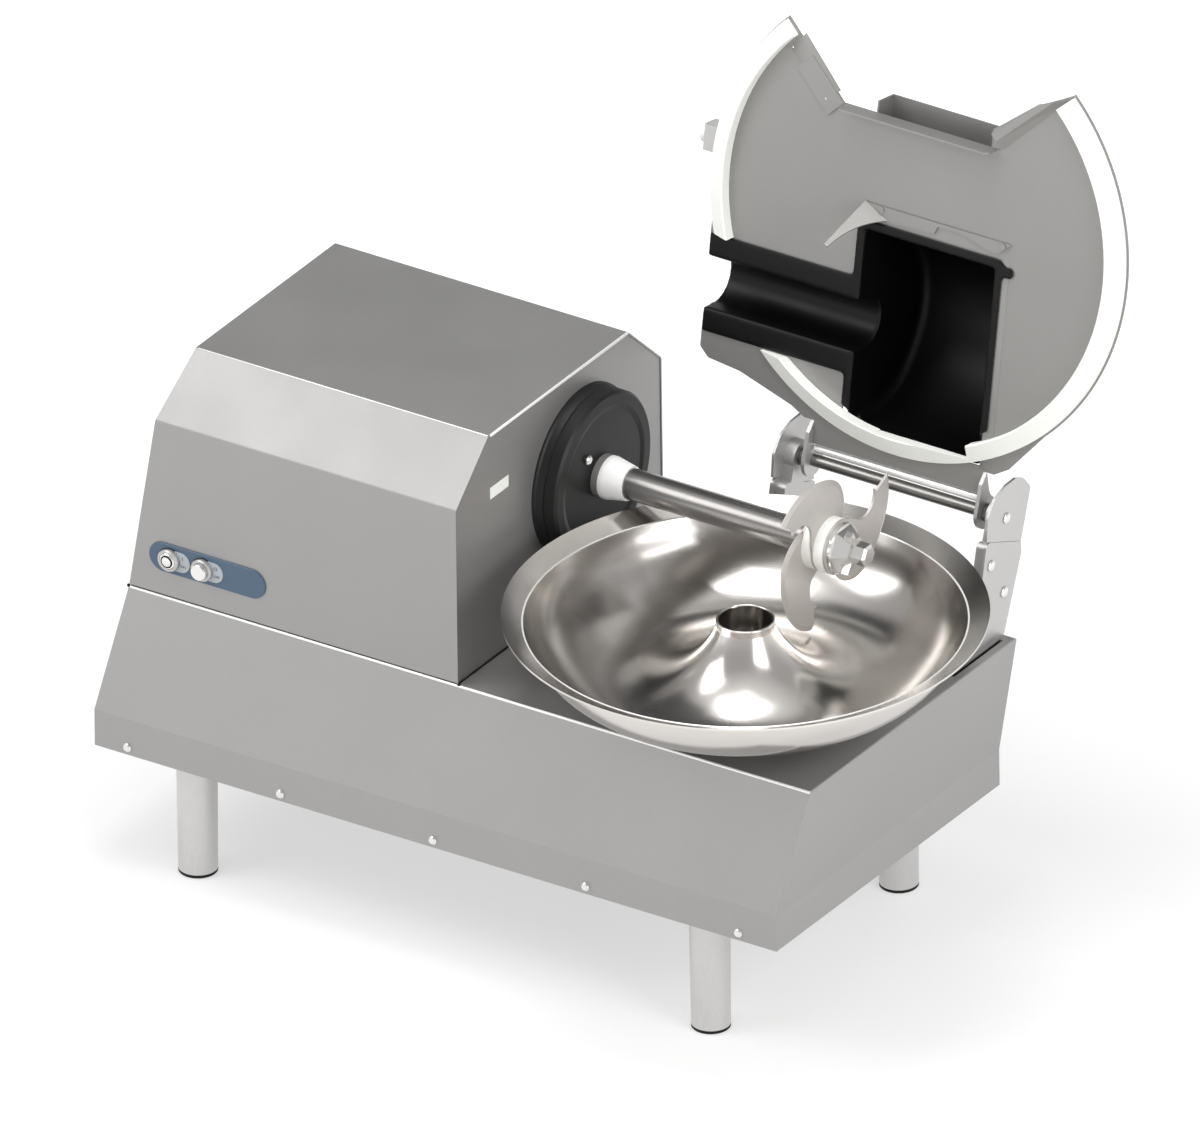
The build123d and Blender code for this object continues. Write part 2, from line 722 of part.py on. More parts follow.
def bowl_pulley():
    z = rim_z - socket_depth - spindle_low + 6.0
    bore = spindle_radius + running
    points = [(bore, 0), (bowl_pulley_radius, 0), (bowl_pulley_radius, 2.0),
              (bowl_pulley_radius - 4.0, 2.0), (bowl_pulley_radius - 4.0, 2.0 + bowl_belt_width),
              (bowl_pulley_radius, 2.0 + bowl_belt_width),
              (bowl_pulley_radius, 4.0 + bowl_belt_width), (bore, 4.0 + bowl_belt_width)]
    return turned_z(points, z)


gear_x = bx - 190.0
gear_y = by + 10.0
bowl_drive_z = rim_z - socket_depth - spindle_low + 6.0


def gearmotor():
    """Bowl gearmotor hung under the deck: gear head, motor can and mounting flange."""
    flange = block(gear_x - 55, gear_x + 55, gear_y - 55, gear_y + 55, deck_z - sheet - 10.0,
                   deck_z - sheet)
    head = block(gear_x - 42, gear_x + 42, gear_y - 42, gear_y + 42, bowl_drive_z + 34.0,
                 deck_z - sheet - 10.0)
    head = fillet(head.edges().filter_by(Axis.Z), 10.0)
    can_z = (bowl_drive_z + 34.0 + deck_z - sheet - 10.0) / 2
    can = Location((gear_x, gear_y + 40.0, can_z), (-90, 0, 0)) * Cylinder(
        bowl_motor_radius, bowl_motor_length, align=(Align.CENTER, Align.CENTER, Align.MIN))
    body = flange + head + can
    return body - post(10.0 + running, 60.0, (gear_x, gear_y, bowl_drive_z + 33.0))


def gear_shaft():
    return post(10.0, 62.0, (gear_x, gear_y, bowl_drive_z))


def gear_pulley():
    width = bowl_belt_width
    points = [(10.0, 0), (gear_pulley_radius, 0), (gear_pulley_radius, 2.0),
              (gear_pulley_radius - 4.0, 2.0), (gear_pulley_radius - 4.0, 2.0 + width),
              (gear_pulley_radius, 2.0 + width), (gear_pulley_radius, 4.0 + width),
              (10.0, 4.0 + width)]
    face = Plane.XZ * make_face(Polyline(*points, close=True))
    return Location((gear_x, gear_y, bowl_drive_z)) * revolve(face, Axis.Z)


def bowl_belt():
    loop = belt_loop((gear_x, gear_y), gear_pulley_radius - 4.0, (bx, by),
                     bowl_pulley_radius - 4.0, 3.0)
    return slab_z(loop, bowl_drive_z + 2.0 + fit, bowl_drive_z + 2.0 + bowl_belt_width - fit)


# ---- knife motor ----------------------------------------------------------------------------------
def motor():
    """Motor with cooling ribs, end shields and a foot."""
    x0 = motor_x + 12.0
    body = rod(motor_radius - 6.0, motor_length, (x0, motor_y, motor_z))
    for i in range(3):
        body += rod(motor_radius, 20.0, (x0 + 34.0 + i * 56.0, motor_y, motor_z))
    foot_block = block(x0 + 30.0, x0 + motor_length - 30.0, motor_y - 60.0, motor_y + 60.0,
                       skirt_z + sheet, skirt_z + sheet + 10.0)
    legs = block(x0 + 50.0, x0 + motor_length - 50.0, motor_y - 40.0, motor_y + 40.0,
                 skirt_z + sheet + 10.0, motor_z - motor_radius / 2)
    body += foot_block + legs
    return body - rod(14.0 + running, motor_length + 2, (x0 - 1, motor_y, motor_z))


def motor_shaft():
    return rod(14.0, motor_length + 40.0, (pulley_x, motor_y, motor_z))


def drive_belt():
    loop = belt_loop((motor_y, motor_z), motor_pulley_radius, (sh_y, sh_z), shaft_pulley_radius,
                     belt_thickness)
    return slab_x(loop, pulley_x + 1.0, pulley_x + pulley_width - 1.0)


# ---- switches ------------------------------------------------------------------------------------
def stadium(length, height):
    return SlotOverall(length, height)


def on_front(sketch, x, z, depth, rise=0.0):
    """A sketch set on the housing's front, rising forward from it."""
    place = Plane((x, deck_front - rise, z), x_dir=(1, 0, 0), z_dir=(0, -1, 0))
    return place * extrude(sketch, depth)


def button_places():
    z = skirt_z + pill_z
    return [(left + first_button_x + i * button_spacing, z) for i in range(2)]


def control_plate():
    x = left + (pill_left + pill_right) / 2
    plate = on_front(stadium(pill_right - pill_left, pill_height), x, skirt_z + pill_z,
                     pill_thickness)
    plate = chamfer(plate.faces().sort_by(Axis.Y)[0].edges(), 0.6)
    for bx_, bz_ in button_places():
        plate -= on_front(Circle(bezel_radius - 2.0), bx_, bz_, 10.0, -5.0)
    return plate


def button_bezels():
    rings = []
    for x, z in button_places():
        body = on_front(Circle(bezel_radius), x, z, bezel_height, pill_thickness)
        body = chamfer(body.faces().sort_by(Axis.Y)[0].edges(), 1.4)
        body += on_front(Circle(bezel_radius - 2.4), x, z, 26.0, pill_thickness - 26.0)
        body -= on_front(Circle(button_radius + fit), x, z, 60.0, -40.0)
        rings.append(body)
    return Compound(rings)


def button_tabs():
    """Rounded label plates beside the buttons."""
    tabs = []
    for x, z in button_places():
        plate = on_front(stadium(tab_length, tab_height), x + tab_length / 2 - 11.0, z, 1.0,
                         pill_thickness)
        tabs.append(plate - on_front(Circle(bezel_radius + seat), x, z, 20.0, -5.0))
    return Compound(tabs)


def push_button(index, rise):
    """Button cap and stem; rise is how far it stands out of its bezel."""
    x, z = button_places()[index]
    cap = on_front(Circle(button_radius), x, z, bezel_height + rise + 20.0, pill_thickness - 20.0)
    return chamfer(cap.faces().sort_by(Axis.Y)[0].edges(), 1.0)


def switch_blocks():
    """Contact blocks behind the buttons, held by the bezels' necks."""
    blocks = []
    for x, z in button_places():
        y0 = deck_front - pill_thickness + 26.0
        body = block(x - 17, x + 17, y0, y0 + 34.0, z - 21, z + 21)
        body -= on_front(Circle(button_radius + fit), x, z, 12.0, pill_thickness - 26.0 - 11.0)
        blocks.append(body)
    return Compound(blocks)


def control_box():
    """Relay box on the deck behind the switches."""
    x = left + (pill_left + pill_right) / 2
    return fillet(block(x - 70, x + 30, deck_front + 78.0, deck_front + 118.0, deck_z,
                        deck_z + 120.0).edges().filter_by(Axis.Z), 4.0)


# ---- hinge ------------------------------------------------------------------------------------------
def bracket_outline(inset):
    """Lower hinge plate: stands in the deck, leans back, ends at the seam below the axis."""
    y, z = hinge_y, hinge_z
    points = [(back - 70.0 + inset, deck_z), (back - inset, deck_z),
              (y + 28.6 - inset, z - 54.9), (y + 28.0 - inset, z - 41.0),
              (y - 38.5 + inset, z - 12.5 - inset), (y - 51.4 + inset, z - 66.6)]
    outline = make_face(Polyline(*points, close=True))
    corner = [v for v in outline.vertices() if v.X < y - 30 and v.Y > z - 30]
    return fillet(corner, 7.0)


def cap_outline(inset):
    """Rounded cap plate above the seam, about the hinge axis."""
    y, z = hinge_y, hinge_z
    gap = 0.5
    points = [(y + 28.0 - inset, z - 41.0 + gap), (y + 48.4 - inset, z + 16.9),
              (y + 35.4 - inset, z + 32.8 - inset), (y + 19.7, z + 40.1 - inset),
              (y, z + 39.4 - inset), (y - 21.8 + inset, z + 32.5 - inset),
              (y - 36.0 + inset, z + 14.6), (y - 38.5 + inset, z - 12.5 + gap)]
    outline = make_face(Polyline(*points, close=True))
    upper = [v for v in outline.vertices() if v.Y > z + 10]
    return fillet(upper, 7.0)


def bracket_sides(side):
    """Outer plate, post and sleeve of one hinge: their x ranges."""
    outer = left + hinge_plate_x - (0 if side > 0 else hinge_span)
    inner = outer - side * hinge_plate
    post_end = inner - side * hinge_post
    sleeve_end = bx + hinge_middle + side * (ear_x + ear_thickness + fit)
    return outer, inner, post_end, sleeve_end


hinge_middle = left + hinge_plate_x - hinge_span / 2 - bx


def between(face_yz, x0, x1):
    return slab_x(face_yz, min(x0, x1), max(x0, x1))


def hinge_plate_lower(side):
    outer, inner, _, _ = bracket_sides(side)
    plate = between(bracket_outline(0), outer, inner)
    for x, y, z in bracket_screw_places(side):
        plate -= rod(screw_shank + seat / 2, 20, (x - 10, y, z))
    return plate


def hinge_cap(side):
    outer, inner, _, _ = bracket_sides(side)
    plate = between(cap_outline(0), outer, inner)
    return plate - rod(screw_shank + seat / 2, 20, (outer - 10, hinge_y, hinge_z))


def hinge_post_body(side):
    """Post on the deck that holds the hinge rod's end."""
    _, inner, post_end, _ = bracket_sides(side)
    body = between(bracket_outline(5.0), inner, post_end)
    neck = Polyline((hinge_y - 24.0, hinge_z - 24.0), (hinge_y + 22.0, hinge_z - 38.0),
                    (hinge_y + 16.0, hinge_z), (hinge_y - 16.0, hinge_z), close=True)
    head = make_face(neck) + Pos(hinge_y, hinge_z) * Circle(18.0)
    body += between(head, inner, post_end)
    body += block(min(inner, post_end) - 4, max(inner, post_end) + 4, back - 64.0, back - 8.0,
                  deck_z, deck_z + 5.0) - between(Rectangle(2000, 2000), inner, inner + side * 50)
    body -= rod(hinge_rod_radius + running, 2 * hinge_post,
                (min(inner, post_end) - 1, hinge_y, hinge_z))
    for x, y, z in bracket_screw_places(side):
        body -= rod(screw_shank + seat / 2, 20, (x - 10, y, z))
    return body


def hinge_sleeve(side):
    _, _, post_end, sleeve_end = bracket_sides(side)
    start = min(post_end, sleeve_end)
    return ring(washer_radius, hinge_rod_radius + running, abs(post_end - sleeve_end),
                (start, hinge_y, hinge_z))


def hinge_rod():
    """Fixed rod across both posts; the lid's ears turn on it."""
    x1 = left + hinge_plate_x - hinge_plate
    x0 = x1 - hinge_span + 2 * hinge_plate
    body = rod(hinge_rod_radius, x1 - x0, (x0, hinge_y, hinge_z))
    return body - rod(screw_shank + 0.1, 12.0, (x0 - 1, hinge_y, hinge_z)) - rod(
        screw_shank + 0.1, 12.0, (x1 - 11, hinge_y, hinge_z))


def bracket_screw_places(side):
    x = left + hinge_plate_x - (0 if side > 0 else hinge_span)
    return [(x, hinge_y - 31.3, hinge_z - 44.0), (x, hinge_y - 6.6, hinge_z - 87.5)]


def hinge_screws():
    screws = []
    for side in (-1, 1):
        outer = bracket_sides(side)[0]
        places = bracket_screw_places(side) + [(outer, hinge_y, hinge_z)]
        screws.append(dome_screws(places, (side, 0, 0), 10.0))
    return Compound([solid for group in screws for solid in group.solids()])


def opened(shape):
    """Swing a piece that was built closed to the lid's open place."""
    return shape.rotate(Axis((0, hinge_y, hinge_z), (1, 0, 0)), -lid_open_angle)


# ---- lid, drawn closed about the bowl's axis ------------------------------------------------------
def lid_outline():
    """Round plate with a straight-backed tail between the ears and a lobe beside the tunnel."""
    r = lid_radius
    e = ear_x + hinge_middle
    f = ear_x - hinge_middle
    b = shoulder_back
    tail = make_face(Polyline((-f, tail_back), (e, tail_back), (e, b),
                              (shoulder_inner, b), (shoulder_right, b - 10.0),
                              polar(r - 0.2, 47), (0, 0),
                              (-lobe_left, 64.0), (-lobe_left, lobe_back - 10.5),
                              (-lobe_left + 11.4, lobe_back), (-207.6, lobe_back + 4.5),
                              (-shoulder_left, b - 9.0), (-shoulder_inner, b), (-f, b),
                              close=True))
    corner = [v for v in tail.vertices()
              if v.X < -lobe_left + 20 and v.Y > lobe_back - 20]
    return Circle(r) + fillet(corner, 6.0)


def notch_outline(inset=0.0):
    """Loading notch: narrow at the middle, opening at 45 degrees to the front."""
    half = notch_half_width - inset
    deep = notch_front + inset
    reach = lid_radius + 40.0
    run = reach - deep
    return Pos(notch_shift, 0) * make_face(Polyline(
        (-half, -deep), (half, -deep), (half + run, -reach), (-half - run, -reach), close=True))


def hood_outline(grow):
    """Plan of the hood: shaft tunnel to the left, knife cavity to the right."""
    y = bowl_offset
    cavity = Pos((hood_right - hood_left) / 2, y) * Rectangle(
        hood_left + hood_right + 2 * grow, 2 * (hood_radius + grow))
    tunnel_w = 2 * (tunnel_half_width - hood_lip + grow)
    tunnel = Pos((-lobe_left - hood_left) / 2, y) * Rectangle(
        lobe_left - hood_left + 2, tunnel_w)
    shape = cavity + tunnel
    return shape


def place_closed(shape):
    return Location((bx, by, 0)) * shape


def side_length(x, radius):
    """Length of the notch's 45 degree side, from its corner at x out to a radius."""
    total = x + notch_front
    spare = radius ** 2 - x ** 2 - notch_front ** 2
    return (sqrt(total ** 2 + 2 * spare) - total) / sqrt(2)


def lid_plate():
    """Lid sheet with the loading notch's turned-up edges and the hood's cut-out."""
    flat = lid_outline() - notch_outline()
    flat -= hood_outline(hood_wall + seat)
    t = plate_thickness
    plate = extrude(flat, t)
    flange = block(notch_shift - notch_half_width + 2, notch_shift + notch_half_width - 4,
                   -notch_front, -notch_front + t, -notch_flange, t)
    flange = fillet(flange.edges().filter_by(Axis.Y).sort_by(Axis.Z)[:2], 7.0)
    plate += flange
    # chute ledge on the right side: slopes down, runs level, turns up again
    half = chute_width / 2
    fold = Polyline((t, t), (-half, -chute_drop), (-chute_width, -chute_drop),
                    (-chute_width - chute_lip * 0.6, chute_lip * 0.4),
                    (-chute_width - chute_lip * 0.6 - 1.4, chute_lip * 0.4 - 1.4),
                    (-chute_width - 0.8, -chute_drop - t), (-half - 0.8, -chute_drop - t),
                    (t, 0), close=True)
    run = side_length(notch_shift + notch_half_width, lid_radius)
    ledge = Location((0, -6.0, 0)) * extrude(Plane.XZ * make_face(fold), run - 8.0)
    corner = (notch_shift + notch_half_width, -notch_front, 0)
    plate += Location(corner, (0, 0, 45)) * ledge
    # flat strip under the left side
    corner = (notch_shift - notch_half_width, -notch_front, 0)
    run = side_length(notch_half_width - notch_shift, seal_radius - seal_width - 3.0)
    strip = block(0, run - hem_width, -hem_width, 0, -t, 0)
    plate += Location(corner, (0, 0, -135)) * strip
    plate = Location((0, 0, plate_z)) * plate
    return opened(place_closed(plate))


def knife_recess(gap):
    """Where the hood's flange cuts into the seal: behind the knives and at the tunnel."""
    width = seal_notch_left + seal_notch_right + 2 * gap
    cavity = Pos((seal_notch_right - seal_notch_left) / 2, seal_notch_back / 2 + gap) * Rectangle(
        width, seal_notch_back)
    tunnel = Pos(-lid_radius + 60.0, bowl_offset) * Rectangle(
        lid_radius, 2 * (tunnel_half_width + gap))
    return cavity + tunnel


def seal_ring():
    """White moulded seal: conical face that sits over the bowl's rim, cut at notch and hood."""
    top = plate_above_rim - seat
    outer = seal_radius
    inner = seal_radius - seal_width
    low = seal_rise - seal_drop
    profile = Polyline((outer, top), (outer, seal_rise), (inner, low), (inner - 1.5, low + 1.0),
                       (inner - 1.5, top), close=True)
    body = revolve(Plane.XZ * make_face(profile), Axis.Z)
    body -= slab_z(notch_outline(-2.0), -30, 30) + slab_z(knife_recess(fit), -30, 30)
    return opened(place_closed(Location((0, 0, rim_z)) * body))


def hood():
    """Moulded knife hood: drum over the knives, tunnel over the shaft, flange under the plate."""
    y = bowl_offset
    axis_z = shaft_above_rim
    wall = hood_wall
    high = plate_above_rim - seat
    low = high - wall

    def drum(radius, x0, x1):
        return Location((x0, y, axis_z), (0, 90, 0)) * Cylinder(
            radius, x1 - x0, align=(Align.CENTER, Align.CENTER, Align.MIN))

    def walls(grow, z0):
        """Straight sides below the two arches."""
        cavity = Pos((hood_right - hood_left) / 2, y) * Rectangle(
            hood_left + hood_right + 2 * grow, 2 * (hood_radius + grow))
        tunnel = Pos((-lobe_left - hood_left) / 2, y) * Rectangle(
            lobe_left - hood_left + (2 if grow == 0 else 0), 2 * (tunnel_radius + grow))
        return slab_z(cavity + tunnel, z0, axis_z)

    def arches(grow, rounding, past):
        cavity = drum(hood_radius + grow, -hood_left - grow, hood_right + grow)
        cavity = fillet(cavity.edges().filter_by(GeomType.CIRCLE), rounding)
        return cavity + drum(tunnel_radius + grow, -lobe_left - past, -hood_left + past)

    above = Location((0, 0, low)) * Box(4 * lid_radius, 4 * lid_radius, 4 * hood_radius,
                                        align=(Align.CENTER, Align.CENTER, Align.MIN))
    shell = (arches(wall, 14.0, 0) & above) + walls(wall, low)
    inside = Circle(seal_radius - seal_width - 1.5 - seat)
    under = slab_z(inside + knife_recess(0), low - 1, high)
    over = Location((0, 0, high)) * Box(4 * lid_radius, 4 * lid_radius, 4 * hood_radius,
                                        align=(Align.CENTER, Align.CENTER, Align.MIN))
    shell &= under + over
    lip = Pos((hood_right - hood_left) / 2, y) * RectangleRounded(
        hood_left + hood_right + 2 * hood_lip, 2 * (hood_radius + hood_lip), 6.0)
    tunnel_lip = Pos((-lobe_left - hood_left) / 2, y) * Rectangle(
        lobe_left - hood_left, 2 * tunnel_half_width)
    tab = Pos(hood_right + hood_lip, y - hood_radius + 1.0) * SlotOverall(32.0, 15.0)
    flange = slab_z(((lip + tab) & (inside + knife_recess(0))) + tunnel_lip, low, high)
    body = shell + flange - walls(0, low - 20) - arches(0, 12.0, 1)
    return opened(place_closed(Location((0, 0, rim_z)) * body))


wing_tip = (-85.0, 32.5, -47.0)   # from the bowl's axis and rim


def deflector():
    """Bent plate in front of the knife opening; its left wing reaches down into the bowl."""
    t = plate_thickness
    z1 = plate_above_rim - seat
    tongue = Polyline((-70.0, -8.0), (118.0, -8.0), (104.0, 4.0), (97.0, 7.0), (54.0, -4.0),
                      (24.0, -4.0), (20.0, 5.0), (-40.0, 7.5), close=True)
    body = slab_z(make_face(tongue), z1 - t, z1)
    start = Vector(-70.0, -8.0, z1 - t / 2)
    end = Vector(-40.0, 7.5, z1 - t / 2)
    tip = Vector(*wing_tip)
    normal = (end - start).cross(tip - start).normalized()
    if normal.X < 0:
        normal = normal * -1
    bulge = (tip + end) * 0.5 + (start - (tip + end) * 0.5) * 0.16
    blunt = tip + (end - start).normalized() * 5.0
    outline = Curve() + [Line(start, tip), Line(tip, blunt), ThreePointArc(blunt, bulge, end),
                         Line(end, start)]
    wing = extrude(make_face(outline), t, dir=normal)
    body += wing
    return opened(place_closed(Location((0, 0, rim_z)) * body))


def deflector_screws():
    """Two small screws through the deflector's strip into the lid plate."""
    screws = []
    for x in (-48.0, 108.0):
        head = post(3.4, 1.6, (x, -4.0, plate_above_rim - seat - plate_thickness - 1.6))
        screws.append(head)
    group = Compound([opened(place_closed(Location((0, 0, rim_z)) * h)) for h in screws])
    return group


def lid_grip():
    """Hollow grip on the lid's outer side, open to the front over the notch's inner edge."""
    z0 = plate_above_rim + plate_thickness
    t = sheet
    z1 = z0 + grip_height
    outer = block(-grip_left, grip_right, -grip_front, -grip_back, z0, z1)
    outer = fillet(outer.edges().filter_by(Axis.Z).sort_by(Axis.Y)[2:], 9.0)
    inner = block(-grip_left + t, grip_right - t, -grip_front - 1, -grip_back - t, z0 - 1, z1 - t)
    inner = fillet(inner.edges().filter_by(Axis.Z).sort_by(Axis.Y)[2:], 7.0)
    return opened(place_closed(Location((0, 0, rim_z)) * (outer - inner)))


def catch_bracket():
    """Bent strip on the lid that carries the lid switch's disc."""
    t = sheet
    z0 = plate_above_rim + plate_thickness
    wide = catch_radius + 2.0
    x = catch_x + 6.0
    foot = block(x, x + 50.0, catch_y - wide, catch_y + wide, z0, z0 + t)
    wall = block(x, x + t, catch_y - wide, catch_y + wide, z0, catch_z)
    cap = Location((x, catch_y, catch_z)) * Location((0, 0, 0), (0, 90, 0)) * Cylinder(
        wide, t, align=(Align.CENTER, Align.CENTER, Align.MIN))
    return opened(place_closed(Location((0, 0, rim_z)) * (foot + wall + cap)))


def catch_disc():
    """White magnet disc that works the switch behind the housing's window."""
    body = Location((catch_x - 4.0, catch_y, catch_z), (0, 90, 0)) * Cylinder(
        catch_radius, 10.0, align=(Align.CENTER, Align.CENTER, Align.MIN))
    body = chamfer(body.edges().filter_by(GeomType.CIRCLE).sort_by(Axis.X)[0], 1.2)
    return opened(place_closed(Location((0, 0, rim_z)) * body))


def lid_ear(side):
    """Ear welded to the lid plate's tail; rounded about the hinge rod and bored for it."""
    x0 = bx + hinge_middle + side * (ear_x if side > 0 else ear_x + ear_thickness)
    top = plate_z + plate_thickness
    low = hinge_z - ear_radius * 0.75
    arm = Polyline((hinge_y - ear_length, top - 1.0), (hinge_y - ear_length, low + 8.0),
                   (hinge_y - ear_length + 12.0, low), (hinge_y, hinge_z - ear_radius),
                   (hinge_y, hinge_z + ear_radius), (hinge_y - ear_radius - 6.0, top + 6.0),
                   close=True)
    face = make_face(arm) + Pos(hinge_y, hinge_z) * Circle(ear_radius)
    body = slab_x(face, x0, x0 + ear_thickness)
    body -= rod(hinge_rod_radius + running, ear_thickness + 2, (x0 - 1, hinge_y, hinge_z))
    return opened(body)


def save_all():
    save(cabinet(), "base_cabinet")
    save(bottom_pan(), "bottom_pan")
    for name, maker in (("legs", leg), ("rubber_feet", foot), ("leg_bolts", leg_bolt)):
        save(Compound([maker(p) for p in leg_places()]), name)
    save(dome_screws(skirt_screw_places(), (0, -1, 0), 6.0), "skirt_screws")
    save(housing_wrap(), "housing_wrap")
    save(housing_end_right(), "housing_end_right")
    save(housing_end_left(), "housing_end_left")
    save(window_guide(), "lid_switch_guide")
    save(inner_frame(), "shaft_cradle")
    save(bearing_tube(), "shaft_bearing_tube")
    save(shaft_bearings(), "shaft_bearings")
    save(drum_cover(), "drum_cover")
    save(dome_screws(drum_screw_places(), (1, 0, 0), drum_depth + 4.0), "drum_cover_screws")
    save(seal_collar(), "shaft_seal")
    save(knife_shaft(), "knife_shaft")
    save(grooved_pulley(shaft_pulley_radius, pulley_width, 2, pulley_x, sh_y, sh_z,
                        shaft_radius + running), "knife_pulley")
    save(drive_belt(), "drive_belt")
    save(motor(), "knife_motor")
    save(motor_shaft(), "motor_shaft")
    save(grooved_pulley(motor_pulley_radius, pulley_width, 2, pulley_x, motor_y, motor_z,
                        14.0 + running), "motor_pulley")
    for i in range(knife_count):
        save(knife(i), f"knife_{i + 1}")
    save(Compound([knife_spacer(i) for i in range(knife_count - 1)]), "knife_spacers")
    save(knife_nut(), "knife_nut")
    save(bowl(), "bowl")
    save(spindle(), "bowl_spindle")
    save(bowl_nut(), "bowl_nut")
    save(bowl_bearing_housing(), "bowl_bearing_housing")
    save(bowl_flange_bolts(), "bowl_flange_bolts")
    save(bowl_bearings(), "bowl_bearings")
    save(bowl_pulley(), "bowl_pulley")
    save(gearmotor(), "bowl_gearmotor")
    save(gear_shaft() + gear_pulley(), "gearmotor_pulley")
    save(bowl_belt(), "bowl_belt")
    save(control_plate(), "control_plate")
    save(button_bezels(), "button_bezels")
    save(button_tabs(), "button_tabs")
    save(push_button(0, 1.0), "on_button")
    save(push_button(1, 5.0), "off_button")
    save(switch_blocks(), "switch_blocks")
    save(control_box(), "control_box")
    for name, maker in (("hinge_plates", hinge_plate_lower), ("hinge_caps", hinge_cap),
                        ("hinge_posts", hinge_post_body), ("lid_ears", lid_ear)):
        save(Compound([maker(side) for side in (-1, 1)]), name)
    save(Compound([hinge_sleeve(side) for side in (-1, 1)]), "hinge_sleeves")
    save(hinge_screws(), "hinge_screws")
    save(hinge_rod(), "hinge_rod")
    save(lid_plate(), "lid_plate")
    save(seal_ring(), "lid_seal")
    save(hood(), "knife_hood")
    save(deflector(), "deflector")
    save(deflector_screws(), "deflector_screws")
    save(lid_grip(), "lid_grip")
    save(catch_bracket(), "catch_bracket")
    save(catch_disc(), "catch_disc")


save_all()
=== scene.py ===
"""Dressing of the table-top meat bowl cutter.

Finishes for every piece, folds and gaps of the sheet metal, signs of the buttons, the lid's
plate and trim, the moulded knife hood, and the studio round it.
"""
import math

import bpy
from mathutils import Matrix, Vector


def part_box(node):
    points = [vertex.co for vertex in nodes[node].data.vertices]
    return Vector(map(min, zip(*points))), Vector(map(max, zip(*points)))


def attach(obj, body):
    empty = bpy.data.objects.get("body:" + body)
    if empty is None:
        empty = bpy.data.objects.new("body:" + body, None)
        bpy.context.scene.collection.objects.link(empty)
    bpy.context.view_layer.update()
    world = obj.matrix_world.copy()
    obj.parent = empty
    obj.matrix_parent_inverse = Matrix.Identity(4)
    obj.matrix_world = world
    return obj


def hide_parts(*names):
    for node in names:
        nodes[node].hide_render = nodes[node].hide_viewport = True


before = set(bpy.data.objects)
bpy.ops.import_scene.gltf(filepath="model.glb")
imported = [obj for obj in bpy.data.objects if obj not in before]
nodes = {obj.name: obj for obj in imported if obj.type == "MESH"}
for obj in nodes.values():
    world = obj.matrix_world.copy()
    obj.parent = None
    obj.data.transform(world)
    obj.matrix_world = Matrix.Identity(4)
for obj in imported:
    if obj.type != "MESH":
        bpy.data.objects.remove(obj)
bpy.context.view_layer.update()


# ---- finishes -----------------------------------------------------------------------------
def srgb(r, g, b):
    """A screen colour, 0 to 255, as the linear colour that the shaders use."""
    def channel(c):
        c /= 255.0
        return c / 12.92 if c <= 0.04045 else ((c + 0.055) / 1.055) ** 2.4
    return (channel(r), channel(g), channel(b), 1.0)


def new_material(name, colour, roughness, metallic, specular):
    """Material with its plain values on the Principled shader's sockets."""
    material = bpy.data.materials.new(name)
    material.use_nodes = True
    shader = material.node_tree.nodes["Principled BSDF"]
    shader.inputs["Base Color"].default_value = colour
    shader.inputs["Roughness"].default_value = roughness
    shader.inputs["Metallic"].default_value = metallic
    shader.inputs["Specular IOR Level"].default_value = specular
    return material


def node(material, kind, **settings):
    """New shader node, its settings given as sockets or as properties."""
    made = material.node_tree.nodes.new(kind)
    for key, value in settings.items():
        if key in made.inputs:
            made.inputs[key].default_value = value
        else:
            setattr(made, key, value)
    return made


def link(material, start, end):
    material.node_tree.links.new(start, end)


EVEN = (1.0, 1.0, 1.0)
NOISE_RANGE = (0.3, 0.7)
BUMP_HEIGHT = 0.0003
BROAD_SHARE = 0.004
BROAD_LEAST = 3.0


def stretched(material, noise):
    """A noise's middle range spread over 0 to 1."""
    spread = node(material, "ShaderNodeMapRange")
    spread.inputs["From Min"].default_value, spread.inputs["From Max"].default_value = NOISE_RANGE
    link(material, noise.outputs["Fac"], spread.inputs["Value"])
    return spread


def grain(material, scale, stretch, depth, colour_shift, rough_shift):
    """Fine surface texture in object space: bump, slight colour and roughness variation."""
    shader = material.node_tree.nodes["Principled BSDF"]
    place = node(material, "ShaderNodeTexCoord")
    mapping = node(material, "ShaderNodeMapping")
    mapping.inputs["Scale"].default_value = stretch
    link(material, place.outputs["Object"], mapping.inputs["Vector"])
    fine = node(material, "ShaderNodeTexNoise", Scale=scale, Detail=3.0, Roughness=0.6)
    link(material, mapping.outputs["Vector"], fine.inputs["Vector"])
    broad = node(material, "ShaderNodeTexNoise", Scale=scale * BROAD_SHARE + BROAD_LEAST,
                 Detail=2.0)
    link(material, place.outputs["Object"], broad.inputs["Vector"])
    base = tuple(shader.inputs["Base Color"].default_value)
    rough = shader.inputs["Roughness"].default_value
    tint = node(material, "ShaderNodeMix", data_type="RGBA", blend_type="MIX")
    tint.inputs["A"].default_value = [c * (1 - colour_shift) for c in base[:3]] + [1]
    tint.inputs["B"].default_value = [min(1, c * (1 + colour_shift)) for c in base[:3]] + [1]
    link(material, stretched(material, fine).outputs["Result"], tint.inputs["Factor"])
    link(material, tint.outputs["Result"], shader.inputs["Base Color"])
    wear = stretched(material, broad)
    wear.inputs["To Min"].default_value = rough - rough_shift
    wear.inputs["To Max"].default_value = rough + rough_shift
    link(material, wear.outputs["Result"], shader.inputs["Roughness"])
    if depth:
        bump = node(material, "ShaderNodeBump", Strength=depth, Distance=BUMP_HEIGHT)
        link(material, fine.outputs["Fac"], bump.inputs["Height"])
        link(material, bump.outputs["Normal"], shader.inputs["Normal"])
    return material


